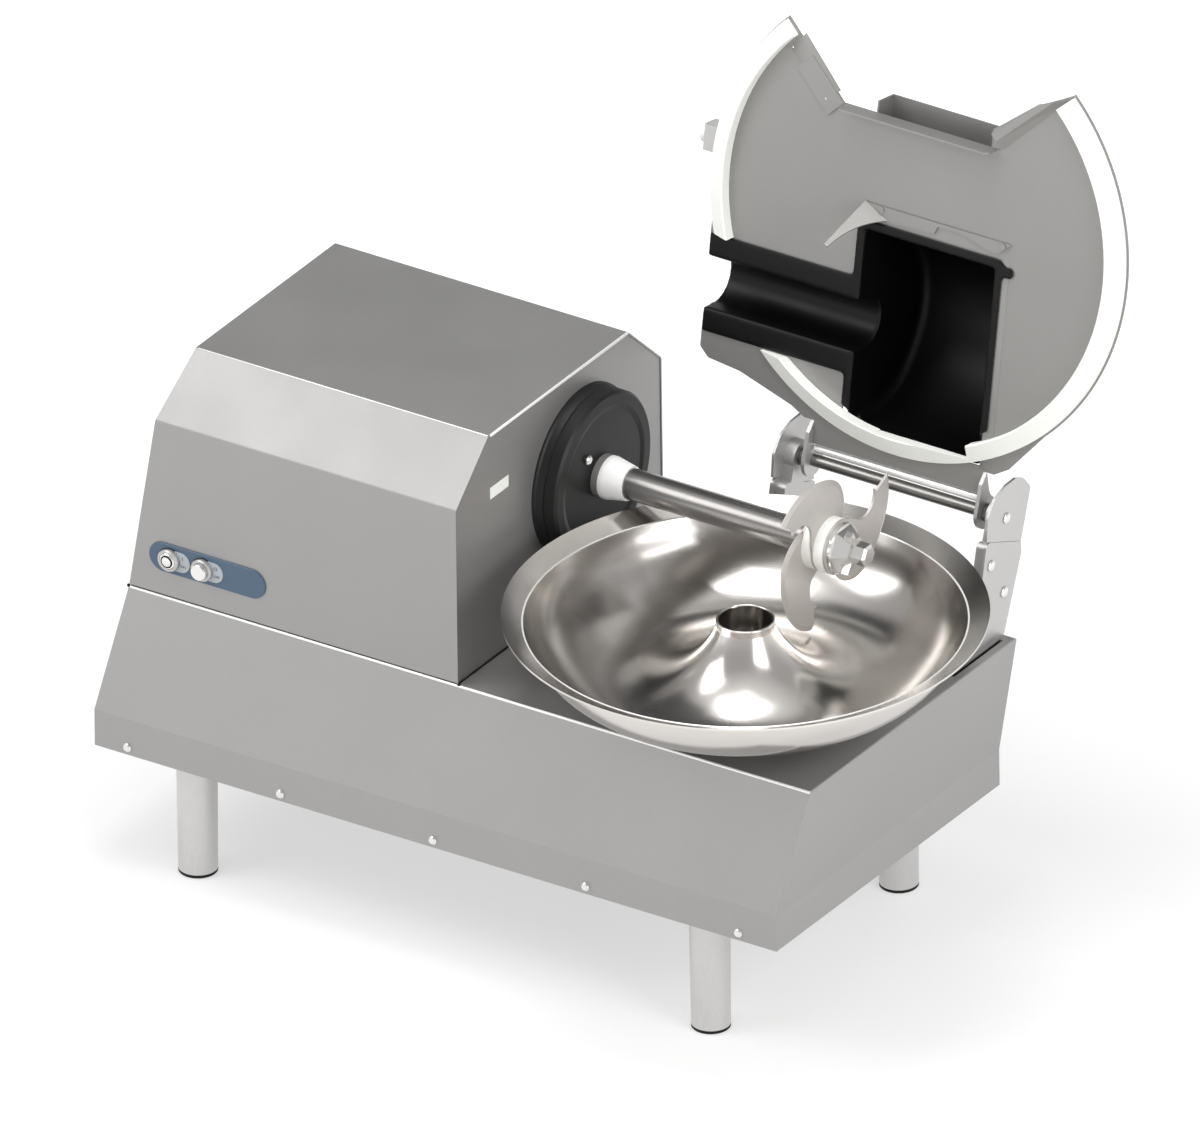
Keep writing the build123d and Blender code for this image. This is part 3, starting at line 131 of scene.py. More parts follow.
def surface(name, screen, rough, metal, grains, bump, tint, wear, specular=0.5, stretch=EVEN):
    """Finish from a screen colour, its gloss, and a grain of so many cells to the metre."""
    material = new_material(name, srgb(*screen), rough, metal, specular)
    return grain(material, grains, stretch, bump, tint, wear)


cabinet_steel = surface("cabinet_steel", (163, 162, 161), rough=0.46, metal=0.6,
                        grains=1400.0, bump=0.25, tint=0.05, wear=0.03)
housing_steel = surface("housing_steel", (158, 157, 156), rough=0.46, metal=0.6,
                        grains=1400.0, bump=0.25, tint=0.05, wear=0.03)
leg_steel = surface("leg_steel", (205, 204, 202), rough=0.34, metal=0.7,
                    grains=900.0, bump=0.1, tint=0.03, wear=0.03, stretch=(1.0, 1.0, 0.1))
lid_steel = surface("lid_steel", (150, 149, 147), rough=0.5, metal=0.6,
                    grains=1400.0, bump=0.2, tint=0.04, wear=0.03)
bowl_steel = surface("bowl_steel", (212, 208, 204), rough=0.18, metal=1.0,
                     grains=1600.0, bump=0.05, tint=0.03, wear=0.03)
bright_steel = surface("bright_steel", (225, 224, 222), rough=0.2, metal=0.85,
                       grains=900.0, bump=0.03, tint=0.02, wear=0.03)
# Near-white steel for the folds, edges, bowl rim ring and hinge bar: a painted highlight where
# light catches them.
painted_highlight_steel = surface("painted_highlight_steel", (250, 250, 248), rough=0.35, metal=0.45,
                     grains=900.0, bump=0.03, tint=0.02, wear=0.03)
shaft_steel = surface("shaft_steel", (142, 140, 138), rough=0.28, metal=0.9,
                      grains=600.0, bump=0.05, tint=0.03, wear=0.03, stretch=(0.2, 1.0, 1.0))
blade_steel = surface("blade_steel", (196, 192, 188), rough=0.5, metal=0.6,
                      grains=1500.0, bump=0.3, tint=0.08, wear=0.04)
hinge_steel = surface("hinge_steel", (190, 189, 188), rough=0.42, metal=0.7,
                      grains=1300.0, bump=0.2, tint=0.04, wear=0.03)
zinc_steel = surface("zinc_steel", (150, 151, 153), rough=0.35, metal=1.0,
                     grains=500.0, bump=0.1, tint=0.06, wear=0.05)
machined_steel = surface("machined_steel", (120, 120, 122), rough=0.4, metal=1.0,
                         grains=700.0, bump=0.1, tint=0.05, wear=0.05)
black_plastic = surface("black_plastic", (27, 27, 27), rough=0.48, metal=0.0,
                        grains=1800.0, bump=0.15, tint=0.1, wear=0.05, specular=0.35)
# The hood's black plastic, made darker than the other black plastic so that it also paints the
# shade in the hood's cavity.
hood_plastic_and_shade = surface("hood_plastic_and_shade", (5, 5, 5), rough=0.42, metal=0.0,
                       grains=1800.0, bump=0.1, tint=0.1, wear=0.05, specular=0.25)
white_plastic = surface("white_plastic", (250, 251, 246), rough=0.42, metal=0.0,
                        grains=900.0, bump=0.04, tint=0.01, wear=0.05, specular=0.4)
label_grey = surface("label_grey", (178, 183, 188), rough=0.45, metal=0.0,
                     grains=900.0, bump=0.04, tint=0.02, wear=0.04, specular=0.4)
blue_film = surface("blue_film", (76, 97, 119), rough=0.4, metal=0.0,
                    grains=900.0, bump=0.05, tint=0.04, wear=0.04, specular=0.45)
black_rubber = surface("black_rubber", (22, 22, 22), rough=0.7, metal=0.0,
                       grains=700.0, bump=0.3, tint=0.15, wear=0.05, specular=0.3)
motor_paint = surface("motor_paint", (70, 74, 80), rough=0.45, metal=0.0,
                      grains=500.0, bump=0.2, tint=0.06, wear=0.05)
print_grey = surface("print_grey", (84, 88, 93), rough=0.5, metal=0.0,
                     grains=900.0, bump=0.02, tint=0.05, wear=0.03, specular=0.3)
# Near-black for the gaps, the button's groove and the corner reliefs, as painted shade where
# light doesn't reach, and for the dark gaskets round the bezels.
gap_shade_and_gasket_black = surface("gap_shade_and_gasket_black", (34, 32, 31), rough=0.8, metal=0.0,
                    grains=900.0, bump=0.05, tint=0.1, wear=0.05, specular=0.1)

COLLAR_LENGTH = 0.0065
COLLAR_GREY = (128, 126, 124)


def seal_finish():
    """White lip seal with the grey collar ring that faces the drum cover."""
    material = surface("seal_rubber", (250, 250, 249), rough=0.45, metal=0.0,
                       grains=900.0, bump=0.04, tint=0.01, wear=0.05, specular=0.4)
    shader = material.node_tree.nodes["Principled BSDF"]
    tint = shader.inputs["Base Color"].links[0].from_socket
    place = node(material, "ShaderNodeTexCoord")
    split = node(material, "ShaderNodeSeparateXYZ")
    link(material, place.outputs["Object"], split.inputs["Vector"])
    step = node(material, "ShaderNodeMath", operation="LESS_THAN")
    step.inputs[1].default_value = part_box("drum_cover")[1][0] + COLLAR_LENGTH
    link(material, split.outputs["X"], step.inputs[0])
    mix = node(material, "ShaderNodeMix", data_type="RGBA", blend_type="MIX")
    link(material, step.outputs[0], mix.inputs["Factor"])
    link(material, tint, mix.inputs["A"])
    mix.inputs["B"].default_value = srgb(*COLLAR_GREY)
    link(material, mix.outputs["Result"], shader.inputs["Base Color"])
    return material


seal_rubber = seal_finish()

FINISH = {
    cabinet_steel: ["base_cabinet", "bottom_pan"],
    housing_steel: ["housing_wrap", "housing_end_right", "housing_end_left"],
    leg_steel: ["legs"],
    lid_steel: ["lid_plate", "lid_grip", "deflector", "deflector_screws"],
    hinge_steel: ["hinge_plates", "hinge_caps", "hinge_posts", "lid_ears", "catch_bracket",
                  "button_bezels"],
    bowl_steel: ["bowl"],
    bright_steel: ["knife_nut", "on_button", "off_button", "skirt_screws",
                   "drum_cover_screws", "hinge_screws", "bowl_nut"],
    shaft_steel: ["knife_shaft", "hinge_rod", "hinge_sleeves"],
    blade_steel: ["knife_1", "knife_2", "knife_3"],
    black_plastic: ["drum_cover", "switch_blocks", "control_box"],
    hood_plastic_and_shade: ["knife_hood"],
    white_plastic: ["lid_seal", "knife_spacers", "lid_switch_guide", "catch_disc"],
    seal_rubber: ["shaft_seal"],
    blue_film: ["control_plate"],
    label_grey: ["button_tabs"],
    black_rubber: ["rubber_feet", "drive_belt", "bowl_belt"],
    zinc_steel: ["leg_bolts", "bowl_flange_bolts", "shaft_bearings", "bowl_bearings",
                 "shaft_cradle"],
    motor_paint: ["knife_motor", "bowl_gearmotor"],
    machined_steel: ["shaft_bearing_tube", "bowl_bearing_housing", "bowl_spindle",
                     "bowl_pulley", "gearmotor_pulley", "knife_pulley", "motor_pulley",
                     "motor_shaft"],
}
for material, names in FINISH.items():
    for name in names:
        for slot in nodes[name].material_slots:
            slot.material = material


# ---- making pieces ------------------------------------------------------------------------
WELD = 0.000005
TRIANGLE_WELD = 0.00001
SAME_SPOT = 0.0002
UP = (0.0, 0.0, 1.0)


def deselect():
    """Leave edit mode with nothing selected."""
    if bpy.context.object and bpy.context.object.mode != "OBJECT":
        bpy.ops.object.mode_set(mode="OBJECT")
    bpy.ops.object.select_all(action="DESELECT")


def finished(name, material, body, angle=40.0):
    """Settle the active piece: place in its mesh, normals outward, finish, ride."""
    piece = bpy.context.object
    if piece.mode != "OBJECT":
        bpy.ops.object.mode_set(mode="OBJECT")
    bpy.ops.object.select_all(action="DESELECT")
    piece.select_set(True)
    bpy.ops.object.transform_apply(location=True, rotation=True, scale=True)
    bpy.ops.object.mode_set(mode="EDIT")
    bpy.ops.mesh.select_all(action="SELECT")
    bpy.ops.mesh.remove_doubles(threshold=WELD)
    bpy.ops.mesh.normals_make_consistent(inside=False)
    bpy.ops.object.mode_set(mode="OBJECT")
    bpy.ops.object.shade_smooth_by_angle(angle=math.radians(angle))
    piece.name = name
    piece.data.name = name
    piece.data.materials.clear()
    piece.data.materials.append(material)
    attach(piece, body)
    piece.select_set(False)
    return piece


def turned(place, axis, profile, segments=48):
    """Lathe: a circle is extruded and resized along a profile of (radius, height).

    The first and last rings stay open, unless they are the same ring.
    """
    deselect()
    radius, height = profile[0]
    bpy.ops.mesh.primitive_circle_add(vertices=segments, radius=radius,
                                      location=(0.0, 0.0, height))
    bpy.ops.object.transform_apply(location=True, rotation=True, scale=True)
    bpy.ops.object.mode_set(mode="EDIT")
    bpy.ops.mesh.select_mode(type="VERT")
    bpy.ops.mesh.select_all(action="SELECT")
    for wide, high in profile[1:]:
        bpy.ops.mesh.extrude_edges_move(TRANSFORM_OT_translate={"value": (0, 0, high - height)})
        factor = wide / radius
        bpy.ops.transform.resize(value=(factor, factor, 1.0))
        radius, height = wide, high
    bpy.ops.object.mode_set(mode="OBJECT")
    piece = bpy.context.object
    piece.rotation_euler = Vector(axis).to_track_quat("Z", "Y").to_euler()
    piece.location = place


END_BEVEL = 0.45


def bead(start, end, radius, sides=12):
    """Round bar between two points, its ends bevelled by a share of its radius."""
    deselect()
    start, end = Vector(start), Vector(end)
    bpy.ops.mesh.primitive_cylinder_add(
        vertices=sides, radius=radius, depth=(end - start).length, location=(start + end) / 2,
        rotation=(end - start).to_track_quat("Z", "Y").to_euler())
    piece = bpy.context.object
    bpy.ops.object.mode_set(mode="EDIT")
    bpy.ops.mesh.select_mode(type="FACE")
    bpy.ops.mesh.select_all(action="DESELECT")
    bpy.ops.object.mode_set(mode="OBJECT")
    for face in piece.data.polygons:
        face.select = abs(face.normal.z) > 0.9
    bpy.ops.object.mode_set(mode="EDIT")
    bpy.ops.mesh.bevel(offset=radius * END_BEVEL, segments=2)


def strip(low, high, round_by):
    """Flat bar between two corners, its edges bevelled."""
    deselect()
    low, high = Vector(low), Vector(high)
    bpy.ops.mesh.primitive_cube_add(size=1.0, location=(low + high) / 2)
    bpy.context.object.scale = high - low
    bpy.ops.object.transform_apply(location=True, rotation=True, scale=True)
    bpy.ops.object.mode_set(mode="EDIT")
    bpy.ops.mesh.select_all(action="SELECT")
    bpy.ops.mesh.bevel(offset=round_by, segments=2)


# ---- folds, gaps and edges of the cabinet and housing --------------------------------------
housing_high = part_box("housing_wrap")[1]
ROOF = housing_high[2]
HOUSING_BACK = housing_high[1]
# Places that the boxes of whole nodes don't give, as in the part
DECK = 0.3245
DECK_FRONT = -0.0007
DECK_LEFT = -0.0840
DECK_RIGHT = 0.7910
HOUSING_RIGHT = 0.3379
ROOF_LEFT = -0.0350
CHAMFER = 0.0656
CHAMFER_BACK = 0.0660
SHEET_CORNER = 0.0013
FOLD_RADIUS = 0.0016
LIP_RADIUS = 0.0017
CREASE_RADIUS = 0.0010
RELIEF_RADIUS = 0.0021
GAP_ROUND = 0.0002


def sheet_folds():
    """Outside edges of the deck, the roof's end and the roof's front crease, in a near-white
    steel that paints their highlight.
    """
    y, z = DECK_FRONT + 0.0004, DECK - SHEET_CORNER
    bead((DECK_LEFT + 0.001, y, z), (DECK_RIGHT - 0.001, y, z), FOLD_RADIUS)
    finished("deck_front_fold", painted_highlight_steel, "base")
    x, z = HOUSING_RIGHT + 0.0002, ROOF - SHEET_CORNER
    bead((x, DECK_FRONT + CHAMFER + 0.003, z), (x, HOUSING_BACK - CHAMFER_BACK, z), LIP_RADIUS)
    finished("roof_end_lip", painted_highlight_steel, "base")
    y, z = DECK_FRONT + CHAMFER + 0.0006, ROOF - 0.0009
    bead((ROOF_LEFT, y, z), (HOUSING_RIGHT - 0.001, y, z), CREASE_RADIUS)
    finished("roof_front_fold", painted_highlight_steel, "base")


def housing_gaps():
    """Dark lines of painted shade in the gaps where the housing stands on the deck, and in the
    corner reliefs at their ends.
    """
    strip((DECK_LEFT + 0.003, DECK_FRONT - 0.0003, DECK + 0.0008),
          (HOUSING_RIGHT - 0.001, DECK_FRONT + 0.001, DECK + 0.0018), GAP_ROUND)
    finished("housing_foot_gap", gap_shade_and_gasket_black, "base")
    strip((HOUSING_RIGHT - 0.001, DECK_FRONT + 0.002, DECK + 0.0001),
          (HOUSING_RIGHT + 0.0006, HOUSING_BACK - 0.003, DECK + 0.0014), GAP_ROUND)
    finished("housing_side_gap", gap_shade_and_gasket_black, "base")
    reliefs = (("left_corner_relief", DECK_LEFT - 0.0006),
               ("step_corner_relief", HOUSING_RIGHT + 0.0012))
    for name, x in reliefs:
        bead((x, DECK_FRONT - 0.0009, DECK - 0.0002), (x, DECK_FRONT + 0.0015, DECK - 0.0002),
             RELIEF_RADIUS)
        finished(name, gap_shade_and_gasket_black, "base")


sheet_folds()
housing_gaps()

# ---- switches ------------------------------------------------------------------------------
on_low, on_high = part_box("on_button")
off_low, off_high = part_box("off_button")
ON_X = (on_low[0] + on_high[0]) / 2
OFF_X = (off_low[0] + off_high[0]) / 2
ON_FACE = on_low[1]
BUTTON_Z = (on_low[2] + on_high[2]) / 2
BEZEL_BACK = DECK_FRONT - 0.0020
FORWARD = (0.0, -1.0, 0.0)


def button_rings():
    """Painted shade in the groove of the flush ON button, its bright centre, and a dark gasket
    round each bezel.
    """
    groove = ((0.0074, 0.0), (0.0074, 0.0003), (0.0070, 0.0005), (0.0062, 0.0005),
              (0.0058, 0.0003), (0.0058, 0.0), (0.0074, 0.0))
    turned((ON_X, ON_FACE, BUTTON_Z), FORWARD, groove)
    finished("on_button_groove", gap_shade_and_gasket_black, "on_button")
    centre = ((0.0056, 0.0), (0.0056, 0.0007), (0.0050, 0.0011), (0.0020, 0.0011),
              (0.0002, 0.0011))
    turned((ON_X, ON_FACE, BUTTON_Z), FORWARD, centre)
    finished("on_button_centre", bright_steel, "on_button")
    gasket = ((0.0137, 0.0), (0.0137, 0.0006), (0.0131, 0.0010), (0.0129, 0.0004),
              (0.0129, 0.0), (0.0137, 0.0))
    for name, x in (("on_bezel_gasket", ON_X), ("off_bezel_gasket", OFF_X)):
        turned((x, BEZEL_BACK, BUTTON_Z), FORWARD, gasket)
        finished(name, gap_shade_and_gasket_black, "base")


PRINT_DEPTH = 0.00006
PRINT_BOLD = 0.014
PRINT_FACE = DECK_FRONT - 0.00305
SIGN_SIZE = 0.0062
SIGN_Z = BUTTON_Z + 0.0050
WORD_SIZE = 0.0042
WORD_Z = BUTTON_Z - 0.0042


def lettering(text, x, z, size, name):
    """Printed sign or word on the label tabs, centred at x and z."""
    deselect()
    bpy.ops.object.text_add(location=(0, 0, 0))
    words = bpy.context.object
    words.data.body = text
    words.data.size = size
    words.data.align_x = "CENTER"
    words.data.align_y = "CENTER"
    words.data.extrude = PRINT_DEPTH
    words.data.offset = size * PRINT_BOLD
    words.data.resolution_u = 4
    bpy.ops.object.convert(target="MESH")
    words = bpy.context.object
    words.rotation_euler = (math.pi / 2, 0.0, 0.0)
    words.location = (x, PRINT_FACE, z)
    finished(name, print_grey, "base", angle=30.0)


button_rings()
lettering("I", ON_X + 0.0166, SIGN_Z, SIGN_SIZE, "on_mark_stroke")
lettering("ON", ON_X + 0.0176, WORD_Z, WORD_SIZE, "on_mark_word")
lettering("O", OFF_X + 0.0166, SIGN_Z, SIGN_SIZE, "off_mark_ring")
lettering("OFF", OFF_X + 0.0182, WORD_Z, WORD_SIZE, "off_mark_word")

# ---- bowl ----------------------------------------------------------------------------------
bowl_low, bowl_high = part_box("bowl")
BOWL_X = (bowl_low[0] + bowl_high[0]) / 2
BOWL_Y = (bowl_low[1] + bowl_high[1]) / 2
EDGE_Z = bowl_high[2] - 0.0100
EDGE_RING = ((0.2394, -0.0004), (0.2394, 0.0002), (0.2400, 0.0008), (0.2408, 0.0008),
             (0.2413, 0.0004), (0.2410, -0.0004), (0.2394, -0.0004))

# Thin ring on the bowl's inner edge in near-white steel: a painted highlight.
turned((BOWL_X, BOWL_Y, EDGE_Z), UP, EDGE_RING, segments=160)
finished("bowl_inner_edge", painted_highlight_steel, "bowl")


# ---- lid ------------------------------------------------------------------------------------
# The lid's hinge line, how far it stands open, and the level of its underside when shut
HINGE_Y = 0.4127
HINGE_Z = 0.4633
OPEN_ANGLE = 100.5
LID_UNDER = 0.4536
SWING = (Matrix.Translation((0, HINGE_Y, HINGE_Z))
         @ Matrix.Rotation(math.radians(-OPEN_ANGLE), 4, "X")
         @ Matrix.Translation((0, -HINGE_Y, -HINGE_Z)))
SHUT = SWING.inverted()
TURN_OPEN = SWING.to_3x3()


def shut(co):
    """Where a point of the open lid lies when the lid is shut."""
    return SHUT @ co


def pick(piece, wanted):
    """Select in edit mode the points that the test wants."""
    bpy.ops.object.mode_set(mode="EDIT")
    bpy.ops.mesh.select_mode(type="VERT")
    bpy.ops.mesh.select_all(action="DESELECT")
    bpy.ops.object.mode_set(mode="OBJECT")
    for point in piece.data.vertices:
        point.select = bool(wanted(point.co))
    bpy.ops.object.mode_set(mode="EDIT")


def plate_on_lid(corners, level, thick, name, material, round_by=0.0003):
    """Thin plate with four corners, given on the shut lid, turned up with it."""
    deselect()
    bpy.ops.mesh.primitive_plane_add(size=1.0)
    piece = bpy.context.object
    order = ((-0.5, -0.5), (0.5, -0.5), (0.5, 0.5), (-0.5, 0.5))
    for (sx, sy), (x, y) in zip(order, corners):
        pick(piece, lambda co: abs(co.x - sx) < 0.01 and abs(co.y - sy) < 0.01 and co.z == 0.0)
        bpy.ops.transform.translate(value=(x - sx, y - sy, level))
    bpy.ops.mesh.select_all(action="SELECT")
    bpy.ops.mesh.extrude_region_move(TRANSFORM_OT_translate={"value": (0, 0, -thick)})
    bpy.ops.mesh.select_all(action="SELECT")
    bpy.ops.mesh.bevel(offset=round_by, segments=2)
    bpy.ops.object.mode_set(mode="OBJECT")
    piece.matrix_world = SWING
    return finished(name, material, "lid")


def copy_of(node_name):
    """Selected copy of a CAD node with its loose triangles merged."""
    deselect()
    copy = nodes[node_name].copy()
    copy.data = nodes[node_name].data.copy()
    bpy.context.scene.collection.objects.link(copy)
    bpy.context.view_layer.objects.active = copy
    copy.select_set(True)
    bpy.ops.object.mode_set(mode="EDIT")
    bpy.ops.mesh.select_all(action="SELECT")
    bpy.ops.mesh.remove_doubles(threshold=TRIANGLE_WELD)
    bpy.ops.object.mode_set(mode="OBJECT")
    return copy


# The chute's ledge runs from its root along the diagonal to the lid's rim.
LEDGE_ROOT_X = 0.7315
LEDGE_ROOT_Y = -0.0032
LEDGE_LENGTH = 0.1153
LEDGE_WIDTH = 0.0307
ROOT_NARROWING = 0.26
RIM_NARROWING = 0.24
RIM_CUT_BACK = 0.0469
DIAGONAL = math.sqrt(2.0)


def on_ledge(x, y, out, along):
    """Whether a point of the shut lid belongs to the ledge's free part."""
    beside_notch = x > 0.7085 and y < -0.004
    return beside_notch and 0.001 < out < 0.033 and along > -0.004


def notched_plate():
    """Lid plate whose chute ledge grows narrower towards the rim."""
    plate = copy_of("lid_plate")
    spots = {}
    for point in plate.data.vertices:
        x, y, z = shut(point.co)
        out = (LEDGE_ROOT_X + LEDGE_ROOT_Y - (x + y)) / DIAGONAL
        along = ((x - LEDGE_ROOT_X) - (y - LEDGE_ROOT_Y)) / DIAGONAL
        if on_ledge(x, y, out, along):
            spots[(round(x, 4), round(y, 4), round(z, 4))] = (out, along)
    for (x, y, z), (out, along) in spots.items():
        share = along / LEDGE_LENGTH
        less_out = out * (ROOT_NARROWING + RIM_NARROWING * share)
        less_along = share * out / LEDGE_WIDTH * RIM_CUT_BACK
        move = Vector((less_out - less_along, less_out + less_along, 0.0)) / DIAGONAL
        pick(plate, lambda co: (shut(co) - Vector((x, y, z))).length < SAME_SPOT)
        bpy.ops.transform.translate(value=TURN_OPEN @ move)
    bpy.ops.object.mode_set(mode="OBJECT")
    bpy.ops.mesh.customdata_custom_splitnormals_clear()
    finished("lid_plate_notched", lid_steel, "lid", angle=4.0)
    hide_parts("lid_plate")


# Corners and levels are those of the shut lid.
HEM_CORNERS = ((0.4724, -0.0646), (0.5221, -0.0120), (0.5062, 0.0035), (0.4547, -0.0439))
HEM_LEVEL = 0.4566
HEM_THICK = 0.0012
HEM_SCREW_LEVEL = 0.4556
HEM_SCREWS = (("hem_screw_outer", 0.4575, -0.0445), ("hem_screw_inner", 0.5050, 0.0020))
SMALL_DOME = ((0.0016, 0.0), (0.0015, 0.0005), (0.0010, 0.0009), (0.0001, 0.0011))
STRIP_LEFT, STRIP_RIGHT = 0.7390, 0.7530
STRIP_FRONT, STRIP_BACK = 0.1230, 0.3640
STRIP_LEVEL = 0.4569
STRIP_THICK = 0.0004
BAR_LEFT, BAR_RIGHT = 0.5290, 0.7440
BAR_Z = HINGE_Z + 0.0148
BAR_RADIUS = 0.0045


def lid_trim():
    """Hem plate and its screws at the notch, strip beside the hood, bar above the hinge rod."""
    plate_on_lid(HEM_CORNERS, HEM_LEVEL, HEM_THICK, "lid_left_hem", lid_steel)
    strip_corners = ((STRIP_LEFT, STRIP_FRONT), (STRIP_RIGHT, STRIP_FRONT),
                     (STRIP_RIGHT, STRIP_BACK), (STRIP_LEFT, STRIP_BACK))
    plate_on_lid(strip_corners, STRIP_LEVEL, STRIP_THICK, "hood_edge_strip", lid_steel,
                 round_by=0.0001)
    for name, x, y in HEM_SCREWS:
        turned(SWING @ Vector((x, y, HEM_SCREW_LEVEL)), TURN_OPEN @ Vector((0.0, 0.0, -1.0)),
               SMALL_DOME, segments=20)
        finished(name, bright_steel, "lid")
    # The bar's near-white steel paints its highlight.
    bead((BAR_LEFT, HINGE_Y, BAR_Z), (BAR_RIGHT, HINGE_Y, BAR_Z), BAR_RADIUS, sides=24)
    finished("hinge_cross_bar", painted_highlight_steel, "lid")


notched_plate()
lid_trim()


# ---- hinge screw heads ----------------------------------------------------------------------
SCREW_REACH = 0.016
HEAD_SEAT = 0.0022
HINGE_DOME = ((0.0064, 0.0), (0.0064, 0.0006), (0.0058, 0.0014), (0.0044, 0.0021),
              (0.0024, 0.0025), (0.0001, 0.0026))


def screw_groups(name):
    """Lowest and highest corners of each separate screw of a node."""
    groups = []
    for point in nodes[name].data.vertices:
        for group in groups:
            if (group[0] - point.co).length < SCREW_REACH:
                group.append(point.co.copy())
                break
        else:
            groups.append([point.co.copy()])
    return [(Vector([min(p[i] for p in g) for i in range(3)]),
             Vector([max(p[i] for p in g) for i in range(3)])) for g in groups]


def hinge_screw_heads():
    """Domed head on the outer end of each hinge screw."""
    for number, (low, high) in enumerate(screw_groups("hinge_screws"), start=1):
        middle = (low + high) / 2
        side = 1.0 if middle.x > BOWL_X else -1.0
        outer = high.x if side > 0 else low.x
        turned((outer - side * HEAD_SEAT, middle.y, middle.z), (side, 0.0, 0.0), HINGE_DOME,
               segments=32)
        finished("hinge_screw_head_%d" % number, bright_steel, "base",
                 angle=60.0)


hinge_screw_heads()


# ---- moulded knife hood ----------------------------------------------------------------------
SKIN_VOXEL = 0.0016
SKIN_SMOOTHING = 10
LIP_SMOOTHING = 26
LIP_DEPTH = 0.014
TUNNEL_END_X = 0.540
HOOD_FIXED_X = 0.6204
HOOD_NARROWING = 0.897
KEPT_FACES = 0.35


def modified(piece, kind, **settings):
    """Add a modifier with its settings and apply it."""
    modifier = piece.modifiers.new(kind.lower(), kind)
    for key, value in settings.items():
        setattr(modifier, key, value)
    bpy.ops.object.modifier_apply(modifier=modifier.name)


def moulded_hood():
    """Knife hood with the soft, rounded edges of a moulding, a little narrower than its node."""
    hood = copy_of("knife_hood")
    modified(hood, "REMESH", mode="VOXEL", voxel_size=SKIN_VOXEL)
    modified(hood, "SMOOTH", factor=0.5, iterations=SKIN_SMOOTHING)
    lips = hood.vertex_groups.new(name="lips")
    lips.add([v.index for v in hood.data.vertices if shut(v.co).z < LID_UNDER + LIP_DEPTH], 1.0,
             "REPLACE")
    modified(hood, "SMOOTH", factor=0.5, iterations=LIP_SMOOTHING, vertex_group="lips")
    pick(hood, lambda co: co.x > TUNNEL_END_X)
    bpy.ops.transform.resize(value=(HOOD_NARROWING, 1.0, 1.0),
                             center_override=(HOOD_FIXED_X, 0.0, 0.0))
    bpy.ops.object.mode_set(mode="OBJECT")
    modified(hood, "DECIMATE", ratio=KEPT_FACES)
    finished("knife_hood_moulding", hood_plastic_and_shade, "lid", angle=60.0)
    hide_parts("knife_hood")


moulded_hood()

# ---- camera ---------------------------------------------------------------------------------
VIEW_TURN = math.radians(33.411)
VIEW_TILT = math.radians(28.778)
VIEW_ROLL = math.radians(0.721)
FRAME_WIDTH = 1200
PIXEL = 0.0010756
# In pixels: the frame's centre from the skirt's front left corner, and the foot from it.
CENTRE_RIGHT = 507.5
CENTRE_UP = 175.9
FOOT_FROM_CORNER = (100.8, 32.3, -127.8)
CAMERA_DISTANCE = 4.0


def add_camera():
    """Parallel camera, turned, tilted and rolled about the frame's centre."""
    ca, sa = math.cos(VIEW_TURN), math.sin(VIEW_TURN)
    ce, se = math.cos(VIEW_TILT), math.sin(VIEW_TILT)
    cr, sr = math.cos(VIEW_ROLL), math.sin(VIEW_ROLL)
    level_right = Vector((ca, sa, 0.0))
    level_up = Vector((-sa * se, ca * se, ce))
    right = level_right * cr - level_up * sr
    up = level_right * sr + level_up * cr
    back = right.cross(up)
    middle = (level_right * CENTRE_RIGHT + level_up * CENTRE_UP) * PIXEL
    middle -= Vector(FOOT_FROM_CORNER) * PIXEL
    data = bpy.data.cameras.new("studio_camera")
    data.type = "ORTHO"
    data.ortho_scale = FRAME_WIDTH * PIXEL
    data.clip_end = 30.0
    camera = bpy.data.objects.new("studio_camera", data)
    bpy.context.scene.collection.objects.link(camera)
    turn = Matrix((right, up, back)).transposed().to_4x4()
    camera.matrix_world = Matrix.Translation(middle + back * CAMERA_DISTANCE) @ turn
    bpy.context.scene.camera = camera


# ---- studio -----------------------------------------------------------------------------------
WHITE = (1.0, 1.0, 1.0, 1.0)
SURROUND_STRENGTH = 1.15
# (height of the direction, level): bright low down and overhead, darker in between
SURROUND_LEVELS = ((0.0, 1.0), (0.10, 1.0), (0.25, 0.62), (0.5, 0.42), (0.75, 0.40), (1.0, 0.85))
# Dark band behind and to the left: angles from +X and heights over which it comes and goes
BAND_ANGLES_IN = (math.radians(102), math.radians(122))
BAND_ANGLES_OUT = (math.radians(178), math.radians(160))
BAND_HEIGHTS_IN = (0.10, 0.26)
BAND_HEIGHTS_OUT = (0.95, 0.86)
BAND_COLOUR = (0.06, 0.06, 0.062, 1.0)


def tree_node(tree, kind, **settings):
    """New node of a tree with its properties set."""
    made = tree.nodes.new(kind)
    for key, value in settings.items():
        setattr(made, key, value)
    return made


def combined(tree, operation, one, other):
    """Math node on two sockets."""
    result = tree_node(tree, "ShaderNodeMath", operation=operation)
    tree.links.new(one, result.inputs[0])
    tree.links.new(other, result.inputs[1])
    return result.outputs[0]


def eased(tree, source, span, levels=(0.0, 1.0)):
    """Smooth change between two levels as the source goes over the span."""
    ease = tree_node(tree, "ShaderNodeMapRange", interpolation_type="SMOOTHSTEP")
    ease.inputs["From Min"].default_value, ease.inputs["From Max"].default_value = span
    ease.inputs["To Min"].default_value, ease.inputs["To Max"].default_value = levels
    tree.links.new(source, ease.inputs["Value"])
    return ease.outputs["Result"]


